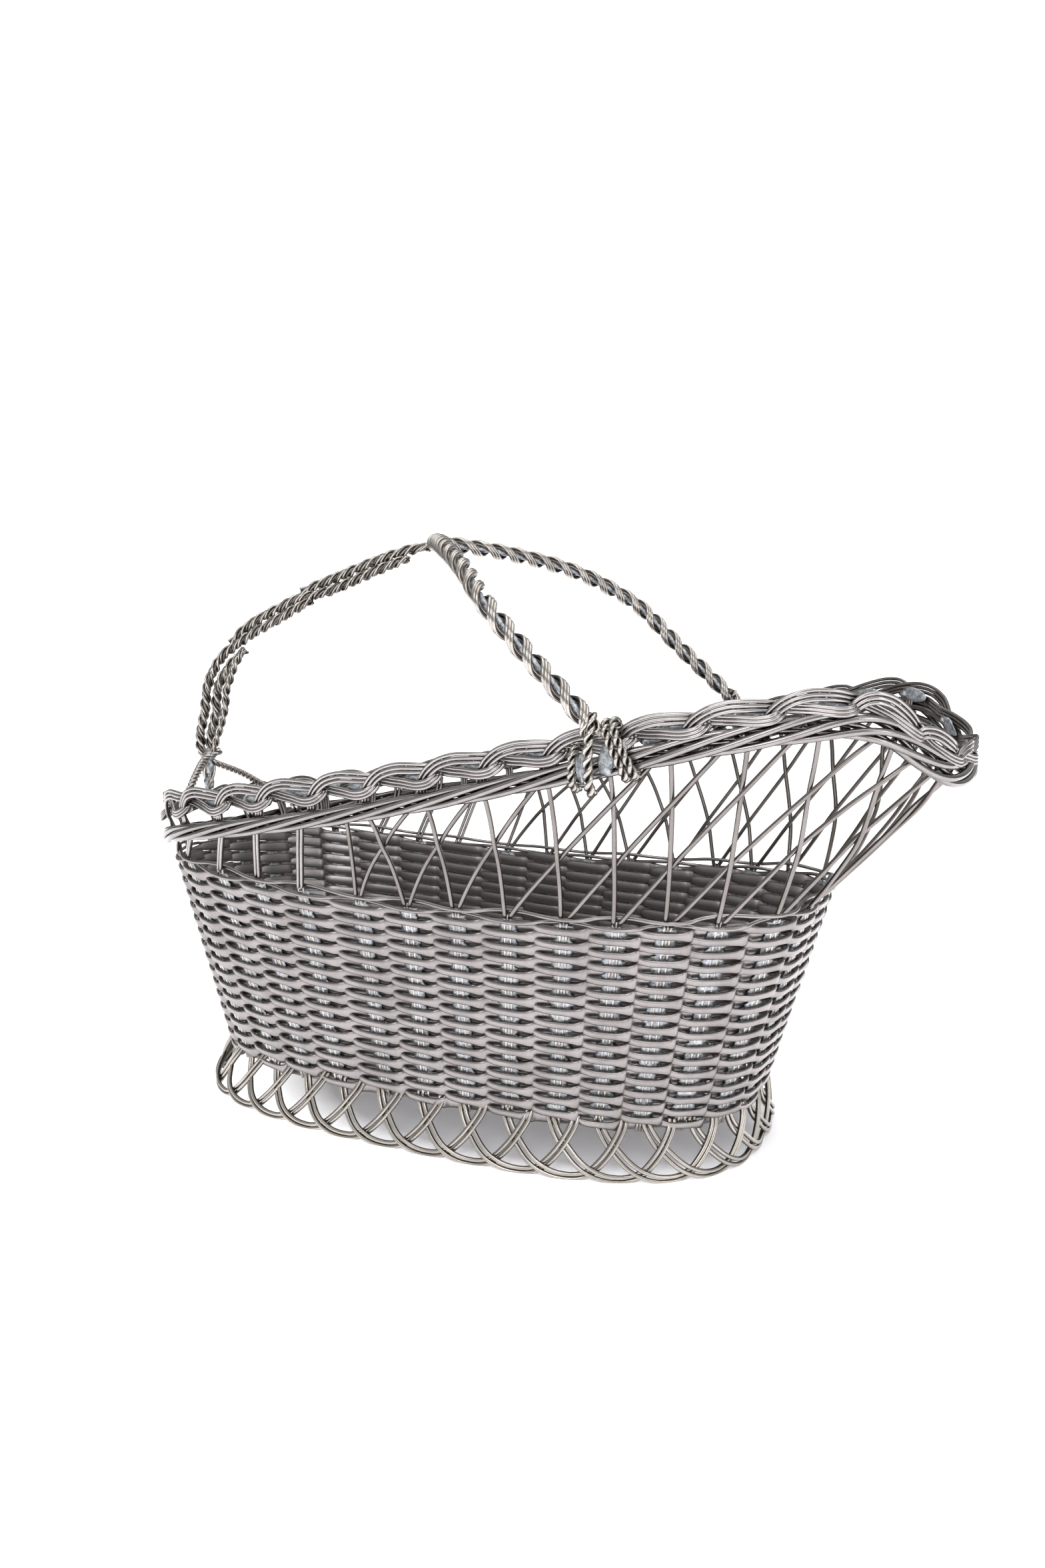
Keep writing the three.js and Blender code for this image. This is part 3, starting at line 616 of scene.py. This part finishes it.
def addLoop(tubes, points, normals, spread, radius, middle=False):
    path = smoothPath(np.column_stack([points, normals, spread]), 6)
    addPair(tubes, path[:, :3], path[:, 3:6], radius, path[:, 6])
    if middle:
        tubes.add(path[:, :3], path[:, 3:6], radius)


tubes = Tubes()
for index in range(stakes["count"]):
    along, drop, lift, spread = np.array(footLoop).T
    t = evenAt(index) + (along + footWire["lean"]) / stakes["count"]
    addLoop(tubes, footPoint(t, drop, lift), footLine.out(t), spread, footWire["radius"])
tubes.build("foot_loops", silver["foot"], ("foot_border",))

# Rim band: heavy wires in a loose twist, which part a little at the front.
band = dict(wires=5, radius=1.06, spread=1.2, tall=1.97, twists=8, lift=2.9, frontWiden=0.5,
            frontPair=(40, 90), steps=560)


def bandCentre(t):
    return rimLine.point(t) + up * band["lift"]


tubes = Tubes()
t = np.arange(band["steps"]) / band["steps"]
centre, out = bandCentre(t), rimLine.out(t)
across = np.cross(rimLine.tangent(t), out)
frontness = grown(centre[:, 0], band["frontPair"])
for k in range(band["wires"]):
    angle = 2 * np.pi * (band["twists"] * t + k / band["wires"])
    tall = np.sin(angle) * band["tall"] * (1 + band["frontWiden"] * frontness)
    path = centre + out * (np.cos(angle) * band["spread"])[:, None] - across * tall[:, None]
    tubes.add(path, out, band["radius"], sides=10, closed=True)
tubes.build("band_wires", silver["wire"], ("rim_band",))

# Rim border. Each arch has three wires. Its points: along in stake spacings, rise as a share of its height
# over the rim line, lift outwards, and how far its outer wires lie from the middle one, as a share of the
# spread.
border = dict(radius=0.6, spread=1.22, rearHeight=17.8, frontHeight=11.2)
borderArch = [
    (-0.06, 0.1, -2.4, 0.8), (-0.07, 0.3, -1.6, 0.85), (-0.05, 0.5, -0.8, 0.95), (0.0, 0.64, 0.2, 1.0),
    (0.06, 0.76, 0.6, 1.05), (0.16, 0.87, 1.0, 1.05), (0.3, 0.95, 1.4, 1.05), (0.5, 0.98, 1.2, 1.05),
    (0.72, 0.94, 0.8, 1.05), (0.93, 0.88, 0.0, 1.0), (1.15, 0.80, -1.2, 0.9), (1.38, 0.71, -0.9, 0.85),
    (1.58, 0.65, 0.2, 0.82), (1.74, 0.59, 1.1, 0.8), (1.86, 0.56, 1.7, 0.8), (1.98, 0.56, 1.9, 0.8),
    (2.07, 0.60, 1.4, 0.8), (2.13, 0.67, 0.2, 0.8), (2.13, 0.73, -1.2, 0.78),
]
archDrift = [(0, 0), (1, 0.1), (2, 0.2), (3, 0.08), (4, 0.12), (5, 0.03), (6, 0.06), (7, 0.04), (8, -0.03),
             (12, -0.2), (16, 0), (35, 0)]


def archHeight(t):
    share = (rimLine.point(t)[..., 0] - rimOval["centreX"]) / (2 * rimOval["halfLength"]) + 0.5
    return border["rearHeight"] + (border["frontHeight"] - border["rearHeight"]) * share


def borderPoint(t, rise, lift):
    height = archHeight(t) * rise
    return rimLine.point(t) + up * height[..., None] + rimLine.out(t) * np.asarray(lift)[..., None]


def archAt(index, along):
    drift = np.interp(index, *np.array(archDrift).T)
    return evenAt(index + drift + np.asarray(along, float))


tubes = Tubes()
for index in range(stakes["count"]):
    along, rise, lift, spread = np.array(borderArch).T
    t = archAt(index, along)
    spread = spread * border["spread"]
    addLoop(tubes, borderPoint(t, rise, lift), rimLine.out(t), spread, border["radius"], middle=True)
tubes.build("border_arches", silver["border"], ("rim_border",))

# Rear ribs: the stakes that rise straight from the weave to the border, inside the band. The drift moves
# their heads along the rim, by their number from the middle of the rear.
rib = dict(radius=0.7, apart=0.8, clear=1.0, rise=0.55, inwards=-0.6)
ribDrift = dict(near=[(3, 0), (4, -0.03), (5, -0.22), (6, -0.31)],
                far=[(1, 0), (2, 0.1), (3, 0.25), (4, 0.4), (6, 0.55)])
tubes = Tubes()
for index in range(-stakes["straight"], stakes["straight"]):
    inset = band["spread"] + band["radius"] + rib["clear"]
    foot = wallPoint(stakeAt(index), 0.98)
    waist = wallPoint(stakeAt(index), 1.0)
    drift = ribDrift["near" if index >= 0 else "far"]
    t = evenAt(index + np.interp(max(index, -1 - index), *np.array(drift).T))
    collar = bandCentre(t) - rimLine.out(t) * inset
    head = borderPoint(np.array(t), rib["rise"], rib["inwards"])
    path = smoothPath([foot, waist, waist + (collar - waist) * 0.5, collar, head], 5)
    addPair(tubes, path, np.broadcast_to(rimLine.out(t), path.shape), rib["radius"], rib["apart"])
tubes.build("rear_ribs", silver["border"])

# Solder between each arch and the tail of the one before, and at the knots. The ends are how far along and
# how high the strips point, as the arches do.
borderSolder = dict(at=0.86, rise=0.68, inwards=-1.1, thick=0.6, halfLength=5.8, halfHeight=2.3,
                    ends=((-0.4, 0.72), (0.4, 0.62)))
borderKnot = dict(at=2.06, rise=0.64, inwards=-0.6, radius=1.4)
lumps = []
for index in range(stakes["count"]):
    t = archAt(index, borderSolder["at"])
    start, end = (borderPoint(t + step / stakes["count"], rise, borderSolder["inwards"])
                  for step, rise in borderSolder["ends"])
    centre = borderPoint(t, borderSolder["rise"], borderSolder["inwards"])
    lumps.append((centre, unit(end - start) * borderSolder["halfLength"], up * borderSolder["halfHeight"],
                  borderSolder["thick"]))
    t = archAt(index, borderKnot["at"])
    centre = borderPoint(t, borderKnot["rise"], borderKnot["inwards"])
    radius = borderKnot["radius"]
    lumps.append((centre, unit(rimLine.tangent(t)) * radius, up * radius, radius))
solderLumps("border_solder", lumps)
print("rim made")

# Lattice: an upright leans back and a tie leans forward from each stake; they cross over and under.
# Shift is how far a wire's head stands along the rim from its stake, in stake spacings, and a bend over 1
# lets it lean over late.
lattice = dict(radius=0.76, layer=0.8, footShare=0.98, footGap=0.75, headInset=0.3, crossing=0.13,
               lowestCrossing=0.03, footThin=0.35, footTaper=0.05)
uprightShift = [-0.4, -1.05, -1.05, -1.12, -1.15, -1.26, -1.43, -1.42, -1.5, -1.42, -1.25]
tieShift = [0.8, 0.8, 0.8, 1.47, 1.37, 1.3, 1.39, 1.07, 0.54, 0.05]
tieBend = [2.2, 2.2, 1.9, 1.3, 1.15, 1.1, 1.1, 1.1, 1, 1]
# On the far side the wires stand further back at the rim than in the mirror of the near side. The first
# ones do so less.
farShift = dict(upright=-1.0, tie=-0.86, firstOnes=3)
sideNames = {-1: "near", 1: "far"}


def latticeSurface(t, share):
    low = wallPoint(t, lattice["footShare"])
    inward = band["spread"] + lattice["headInset"]
    high = bandCentre(t) - rimLine.out(t) * inward
    return low + (high - low) * share[:, None]


def crossShare(first, second):
    # Where two lattice wires cross, as a share of their height.
    share = np.linspace(0, 1, 201)
    hits = np.where(np.diff(np.sign(first(share) - second(share))) != 0)[0]
    return share[hits[0]] if len(hits) else None


def latticeTrack(index, shift, ease):
    foot = float(stakeAt(index)) + np.sign(shift) * lattice["footGap"] / weaveTopLine.total
    head = float(evenAt(index)) + shift / stakes["count"]
    return lambda share: foot + (head - foot) * share ** ease


def latticeWires(side):
    uprights, ties = [], []
    for kind, shifts, tracks in (("upright", uprightShift, uprights), ("tie", tieShift, ties)):
        for i, shift in enumerate(shifts):
            shift += farShift[kind] * min(i / farShift["firstOnes"], 1) * (side > 0)
            tracks.append(latticeTrack(stakes["straight"] + i, shift, tieBend[i] if kind == "tie" else 1))
    lifts = {}
    for i, tie in enumerate(ties):
        for j, upright in enumerate(uprights):
            share = crossShare(tie, upright)
            if share is None or share < lattice["lowestCrossing"]:
                continue
            sign = -1 if (j - i) % 2 else 1
            lifts.setdefault(("tie", i), []).append((share, sign))
            lifts.setdefault(("upright", j), []).append((share, -sign))
    share = np.linspace(0, 1, 40)
    made = {}
    for kind, tracks in (("upright", uprights), ("tie", ties)):
        for i, track in enumerate(tracks):
            t = track(share)
            lift = np.zeros_like(share)
            for at, sign in lifts.get((kind, i), []):
                lift += sign * lattice["layer"] * np.exp(-(((share - at) / lattice["crossing"]) ** 2))
            lift = np.clip(lift, -lattice["layer"], lattice["layer"])
            out = rimLine.out(t)
            path = latticeSurface(t, share) + out * lift[:, None]
            if side > 0:
                path, out = path * [1, -1, 1], out * [1, -1, 1]
            name = f"{kind}_{sideNames[side]}_{i + 1:02d}"
            if kind == "upright" and i == len(uprightShift) - 1:
                name = f"upright_front_{sideNames[side]}"
            made[name] = (path, out)
    return made


for side, sideName in sideNames.items():
    wires = latticeWires(side)
    for kind in ("upright", "tie"):
        tubes = Tubes()
        nodes = [name for name in wires if name.startswith(kind)]
        for path, out in (wires[name] for name in nodes):
            fromFoot = np.linspace(0, 1, len(path)) / lattice["footTaper"]
            thin = 1 - lattice["footThin"] * np.exp(-(fromFoot ** 2))
            tubes.add(path, out, lattice["radius"] * thin, lattice["radius"])
        tubes.build(f"lattice_{kind}s_{sideName}", silver["lattice"], nodes)
print("lattice made")

# Handle: the arch is a chain of two strands round solder, and its legs hang outside the rim as pairs.
# Each layer is how far its wires lie from the arch's middle line and how far they lead in the turn.
handle = dict(headX=68.3, legX=70.3, apexX=-17, apexZ=200.6, footRise=-1, footOut=5.5, headRise=4,
              headOut=4.2)
archRope = dict(strands=2, wire=0.6, turn=16.6, layers=[(2.6, 0.05), (2.5, 0.52), (2.3, -0.45), (1.5, 0.2)],
                core=1.05, coreUneven=0.1, step=0.8)
legRope = dict(wires=2, radius=0.8, turn=7.0, step=0.6)
# The bends of a leg, height and out from the rim line. Those of its top are heights over the border.
legBends = [(-3.0, 1.2), (-3.8, 3.4), (-2.0, 6.2), (2.0, 7.6), (6, 7.9)]
legTopBends = [(-4, 7.6), (1, 5.8), (5, 4.0)]
handleT = np.linspace(0.25, 0.45, 4001)
headT, handleT = (handleT[np.searchsorted(rimLine.point(handleT)[:, 0], handle[place])]
                  for place in ("headX", "legX"))
handleOut = rimLine.out(handleT)
handleBorder = float(archHeight(np.array(handleT)))


def legPoint(height, outset, t=handleT):
    return rimLine.point(t) + rimLine.out(t) * outset + up * height


shoulder = [(0.215, 0.03, 0.315), (0.385, 0.06, 0.58), (0.49, 0.168, 0.715), (0.59, 0.288, 0.815),
            (0.712, 0.453, 0.9), (0.87, 0.73, 0.97)]
legHead = legPoint(handleBorder + handle["headRise"], handle["headOut"], headT)
apex = np.array([handle["apexX"], 0, handle["apexZ"]])
nearArch = [legPoint(handleBorder + handle["footRise"], handle["footOut"]), legHead]
for sx, sy, sz in shoulder:
    nearArch.append([legHead[0] + (apex[0] - legHead[0]) * sx, legHead[1] * (1 - sy),
                     legHead[2] + (apex[2] - legHead[2]) * sz])
farArch = [np.array(p) * [1, -1, 1] for p in nearArch][::-1]
archPath = resample(smoothPath(nearArch + [apex] + farArch, 12), archRope["step"])
tubes = Tubes(sag=False)
normals = carriedNormals(archPath, [1, 0, 0.8])
across = np.cross(tangents(archPath), normals)
for k in range(archRope["strands"]):
    for spread, phase in archRope["layers"]:
        angle = 2 * np.pi * (lengthsOf(archPath) / archRope["turn"] + k / archRope["strands"]) + phase
        side = normals * np.cos(angle)[:, None] + across * np.sin(angle)[:, None]
        tubes.add(archPath + side * spread, side, archRope["wire"])
leg = [legPoint(height, out) for height, out in legBends]
leg += [legPoint(handleBorder + height, out) for height, out in legTopBends]
for mirror in (1, -1):
    path = resample(smoothPath([p * [1, mirror, 1] for p in leg], 10), legRope["step"])
    radius = legRope["radius"]
    addTwist(tubes, path, handleOut, legRope["wires"], radius, radius, legRope["turn"])
tubes.build("arch_rope", silver["rope"], ("handle_arch",))
tubes = Tubes(sag=False)
core = archRope["core"] + random.normal(0, archRope["coreUneven"], len(archPath))
tubes.add(archPath, normals, core, sides=10)
tubes.build("arch_solder", solderGrey)

# Spine: ropes laid side by side, which part above the knot. Each one runs from one share of the spine's
# length to another, its lane is how far it lies on the inner side, and side is how far to the far side.
spine = dict(footX=-121, footY=-3, knotZ=121.5, setBack=3.7, setDown=1.2, step=0.7)
spineRope = dict(strands=3, wires=2, wire=0.54, turn=-10.2, spread=1.16, wireSpread=0.52, core=0.8,
                 wireTurn=-60, closeEnds=0.7)
thinRope = dict(strands=2, wires=3, wire=0.44, turn=-8.6, spread=0.85, wireSpread=0.48, wireTurn=-60,
                closeEnds=0.35)
spineRuns = [
    dict(span=(0.0, 0.63), side=-1.0,
         lane=[(0, -0.4), (0.02, -1.8), (0.05, -1.3), (0.1, -1.0), (0.14, -1.2), (0.165, -2), (0.2, -2.8),
               (0.25, -3.3), (0.3, -3.1), (0.35, -1), (0.4, 0.8), (0.47, 1.8), (0.63, 1.5)]),
    dict(span=(0.335, 0.94), side=-0.8,
         lane=[(0.33, -3.4), (0.4, -2.6), (0.5, -2), (0.58, -1.6), (0.63, 0), (0.69, 1.6), (0.8, 1.9),
               (0.94, 1.4)]),
    dict(span=(0.6, 1.0), side=-0.6,
         lane=[(0.6, -3.1), (0.67, -2.4), (0.75, -1.9), (0.85, -1.6), (1, -1.2)]),
    dict(span=(0.0, 0.355), side=1.0,
         lane=[(0, 0.6), (0.03, 1.6), (0.05, 2.2), (0.1, 3.0), (0.14, 3.0), (0.165, 1.9), (0.2, 0.9),
               (0.25, 0.4), (0.3, 1.1), (0.36, 2.6)]),
    dict(span=(0.005, 0.36), side=-0.5, thin=True,
         lane=[(0.005, 1.6), (0.03, 5.0), (0.05, 6.2), (0.1, 7.6), (0.14, 7.8), (0.17, 7.6), (0.2, 6.6),
               (0.25, 5.2), (0.3, 3.6), (0.36, 2.2)]),
]
spineTop = np.array([apex[0] - spine["setBack"], 0, apex[2] - spine["setDown"]])
spineFoot = np.array([spine["footX"], spine["footY"], spine["knotZ"]])
spineShares = [(0, 0), (-0.02, 0.12), (0.01, 0.27), (0.06, 0.42), (0.2, 0.62), (0.37, 0.73), (0.53, 0.82),
               (0.74, 0.92), (0.9, 0.98), (1, 1)]
spinePath = [spineFoot + (spineTop - spineFoot) * [x, z, z] for x, z in spineShares]
spinePath = resample(smoothPath(spinePath, 12), spine["step"])
normals = carriedNormals(spinePath, [1, 0, 0])
sideways = np.cross(tangents(spinePath), normals)
share = lengthsOf(spinePath) / lengthsOf(spinePath)[-1]
tubes = Tubes()
for run in spineRuns:
    start, end = run["span"]
    within = (share >= start) & (share <= end)
    lane = smoothValue(share[within], run["lane"])
    path = spinePath[within] + normals[within] * lane[:, None] + sideways[within] * run["side"]
    addRope(tubes, path, [0, 1, 0], thinRope if run.get("thin") else spineRope, sides=6)
tubes.build("spine_ropes", silver["rope"], ("handle_spine",))

# Tail and stays: short ropes from the knot at the spine's foot to the rear of the rim.
tail = dict(out=3.8, footY=-6, drop=2.2, head=(0.3, 0, 1.5), step=0.5)
tailRope = dict(strands=2, wires=3, wire=0.6, turn=28, spread=1.6, wireSpread=0.66, wireTurn=40,
                closeEnds=0.35)
# Where the stays end, from the spine's foot: head is at the knot, and over is on past it.
stay = dict(footY=25.5, drop=1.6, wires=3, radius=0.72, spread=0.86, turn=7.0, step=0.5,
            head={-1: (0.5, -2.6, 0.2), 1: (2.5, 2.6, -2.0)}, over={-1: (4, 4.6, 3.5), 1: (-3, -3, 2)})
rearRim = rimLine.point(0.0)
tailFoot = np.array([rearRim[0] - tail["out"], tail["footY"],
                     rearRim[2] + border["rearHeight"] - tail["drop"]])
tubes = Tubes()
path = smoothPath([tailFoot, (tailFoot + spineFoot) / 2, spineFoot + tail["head"]], 10)
path = resample(path, tail["step"])
addRope(tubes, path, [0, 1, 0], tailRope)
tubes.build("tail_ropes", silver["rope"], ("spine_tail",))
# Solder on the tail: place along it, half width, half height and half thickness.
tailSolder = [(0.3, 2.3, 2.6, 1.7), (0.68, 2.4, 3.0, 1.7), (0.97, 2.8, 3.2, 2.1)]
solderLumps("tail_solder", [(path[int(at * len(path))], np.array([width, 0, 0]), up * length, thick)
                            for at, width, length, thick in tailSolder])
stayTs = np.linspace(0, 0.2, 2001)
stayT = stayTs[np.searchsorted(-rimLine.point(stayTs)[:, 1], stay["footY"])]
for side, sideName in sideNames.items():
    foot = rimLine.point(stayT) * [1, -side, 1] + up * (float(archHeight(np.array(stayT))) - stay["drop"])
    head = spineFoot + stay["head"][side]
    over = head + stay["over"][side]
    path = resample(smoothPath([foot, foot * 0.5 + head * 0.5 + up, head, over], 10), stay["step"])
    tubes = Tubes()
    addTwist(tubes, path, [1, 0, 0], stay["wires"], stay["radius"], stay["spread"], stay["turn"])
    tubes.build(f"stay_{sideName}_rope", silver["rope"], (f"stay_{sideName}",))

# Bindings beside the legs: out from the rim line, height as millimetres plus a share of the border's.
# Each stands at one place along the rim at its top and another at its foot, in stake spacings from the leg,
# and reaches a part of the border's height.
bindingRope = dict(wires=2, radius=0.68, turn=5.6, step=0.5)
bindingLoop = [(-5, 0.5, 0), (-5.2, 0, 0.55), (-3.8, 0.4, 0.92), (0.6, 1.9, 1), (4.6, 0.4, 0.92),
               (5.6, 0, 0.55), (5, 0, 0), (0.6, -1.9, 0), (-4, -1.2, 0)]
bindings = dict(rear=(-0.25, -0.25, 0.6), front=(0.16, 0.44, 1), outer=(0.27, 0.56, 1))


def bindingPoint(out, height, share, places):
    top, low, reach = places
    t = handleT + (low + (top - low) * np.clip(share, 0, 1)) / stakes["count"]
    height += share * reach * float(archHeight(np.array(t)))
    return legPoint(height, out, t)


for side, sideName in sideNames.items():
    tubes = Tubes()
    for places in bindings.values():
        loop = [bindingPoint(out, height, share, places) for out, height, share in bindingLoop]
        path = smoothPath(np.array(loop + loop[:1]) * [1, -side, 1], 8)
        path = resample(path, bindingRope["step"])
        total = lengthsOf(path)[-1]
        turn = total / round(total / bindingRope["turn"])
        radius = bindingRope["radius"]
        addTwist(tubes, path, rimLine.tangent(handleT), bindingRope["wires"], radius, radius, turn)
    nodes = [f"binding_{sideName}_{label}" for label in bindings]
    tubes.build(f"bindings_{sideName}", silver["rope"], nodes)

# Solder beside the legs, over the band and under the bindings. Each plate: place along, half length, half
# height, out from the rim line and height over it.
legSolder = dict(thick=1.0, rough=0.5)
legPlates = [(-0.14, 1.9, 4.4, 2.3, 4.2), (0.19, 2.6, 4.4, 2.3, 4.4), (0.42, 1.2, 1.2, 3.4, 7.6)]
lumps = []
for mirror in (1, -1):
    for along, halfLength, halfHeight, out, height in legPlates:
        t = handleT + along / stakes["count"]
        centre, forward = (v * [1, mirror, 1] for v in (legPoint(height, out, t), rimLine.tangent(t)))
        lumps.append((centre, forward * halfLength, up * halfHeight, legSolder["thick"]))
solderLumps("leg_solder", lumps, rough=legSolder["rough"])
print("handle made")

# Stage: a pale floor and backdrop, soft light, and the photograph's camera.
stageLook = dict(floor=(0.93, 0.92, 0.96), stretch=1.6, shade=0.14, whiteFrom=0.08, whiteAt=0.112, size=3.0)


def stageMaterial(name, colour):
    material = bpy.data.materials.new(name)
    material.use_nodes = True
    shader = material.node_tree.nodes["Principled BSDF"]
    shader.inputs["Base Color"].default_value = (*colour, 1)
    shader.inputs["Roughness"].default_value = 0.9
    shader.inputs["Specular IOR Level"].default_value = 0.1
    shader.inputs["Emission Color"].default_value = (1, 1, 1, 1)
    shader.inputs["Emission Strength"].default_value = 1.0
    return material, shader


middle = (0, 0, 0)
bpy.ops.mesh.primitive_circle_add(vertices=96, radius=stageLook["size"], fill_type="NGON", location=middle)
ground = bpy.context.object
ground.name = "floor_stage"
floorMaterial, shader = stageMaterial("pale_floor", stageLook["floor"])
tree = floorMaterial.node_tree
place = Shade(tree, tree.nodes.new("ShaderNodeTexCoord").outputs["Object"])
stretch = (1, stageLook["stretch"], 1)
place = place.node("ShaderNodeVectorMath", (0, place), (1, stretch), operation="MULTIPLY")
distance = place.node("ShaderNodeVectorMath", (0, place), output=1, operation="LENGTH")
# Painted shadow: the floor's glow is dim under the basket and rises to white beyond, so the middle is
# darker on top of its real shadow.
fade = distance.spread(stageLook["whiteFrom"], stageLook["whiteAt"], stageLook["shade"]).clamped()
tree.links.new(fade.socket, shader.inputs["Emission Color"])
ground.data.materials.append(floorMaterial)
bpy.ops.mesh.primitive_uv_sphere_add(segments=64, ring_count=32, radius=stageLook["size"], location=middle)
dome = bpy.context.object
dome.name = "backdrop_stage"
dome.data.materials.append(stageMaterial("white_backdrop", (1, 1, 1))[0])
dome.visible_glossy = False
dome.visible_diffuse = False
dome.visible_shadow = False

lamps = dict(
    key=dict(place=(0.25, -1.15, 0.9), size=(0.8, 0.6), power=5),
    top=dict(place=(0.1, 0.1, 1.2), size=(1.4, 0.9), power=5.5),
    side=dict(place=(1.2, -0.4, 0.5), size=(0.3, 0.7), power=2.2),
    back=dict(place=(-0.9, 0.9, 0.7), size=(0.6, 0.5), power=1.3),
)
for name, lamp in lamps.items():
    data = bpy.data.lights.new(name, "AREA")
    data.shape = "RECTANGLE"
    data.size, data.size_y = lamp["size"]
    data.energy = lamp["power"]
    light = bpy.data.objects.new(name, data)
    bpy.context.collection.objects.link(light)
    light.location = lamp["place"]
    back = unit(np.array(lamp["place"]) - [0, 0, 0.1])
    right = unit(np.cross(up, back))
    light.rotation_euler = Matrix(np.stack([right, np.cross(back, right), back], -1).tolist()).to_euler()

# The room: bright overhead, with panels at the level of the basket, lighter towards the camera.
room = dict(top=0.6, level=0.34, sides=0.16, panels=0.16, panelCount=5, below=0.4, front=0.45,
            overhead=(0.08, 0.7), under=(-0.05, -0.4))
world = bpy.data.worlds.new("studio")
bpy.context.scene.world = world
world.use_nodes = True
tree = world.node_tree
direction = Shade(tree, tree.nodes.new("ShaderNodeTexCoord").outputs["Generated"])
ahead, across, height = (direction.node("ShaderNodeSeparateXYZ", (0, direction), output=axis)
                         for axis in range(3))
turned = ahead.math("ARCTAN2", across * -1) - room["front"]
panels = (turned * room["panelCount"]).math("COSINE") * room["panels"]
level = turned.math("COSINE") * room["sides"] + panels + room["level"]
overhead = height.spread(*room["overhead"]).clamped()
under = height.spread(*room["under"]).clamped()
value = level * (1 - overhead) * (1 - under) + overhead * room["top"] + under * room["below"]
tree.links.new(value.socket, tree.nodes["Background"].inputs["Color"])

camera = bpy.data.objects.new("camera", bpy.data.cameras.new("camera"))
bpy.context.collection.objects.link(camera)
view = dict(place=(188.298, -387.493, 168.316), azimuth=25.917, elevation=8.956, focal=27.58,
            shift=(0.0254, 0.0259))
azimuth, elevation = math.radians(view["azimuth"]), math.radians(view["elevation"])
back = np.array([math.sin(azimuth) * math.cos(elevation), -math.cos(azimuth) * math.cos(elevation),
                 math.sin(elevation)])
right = np.array([math.cos(azimuth), math.sin(azimuth), 0])
turn = Matrix(np.stack([right, np.cross(back, right), back], -1).tolist())
place = (np.array(view["place"]) + [shiftX, 0, 0]) / 1000
camera.matrix_world = Matrix.Translation(place.tolist()) @ turn.to_4x4()
camera.data.sensor_width = 36
camera.data.lens = view["focal"]
camera.data.shift_x, camera.data.shift_y = view["shift"]
camera.data.clip_start, camera.data.clip_end = 0.01, 20
bpy.context.scene.camera = camera
bpy.context.scene.view_settings.view_transform = "Standard"
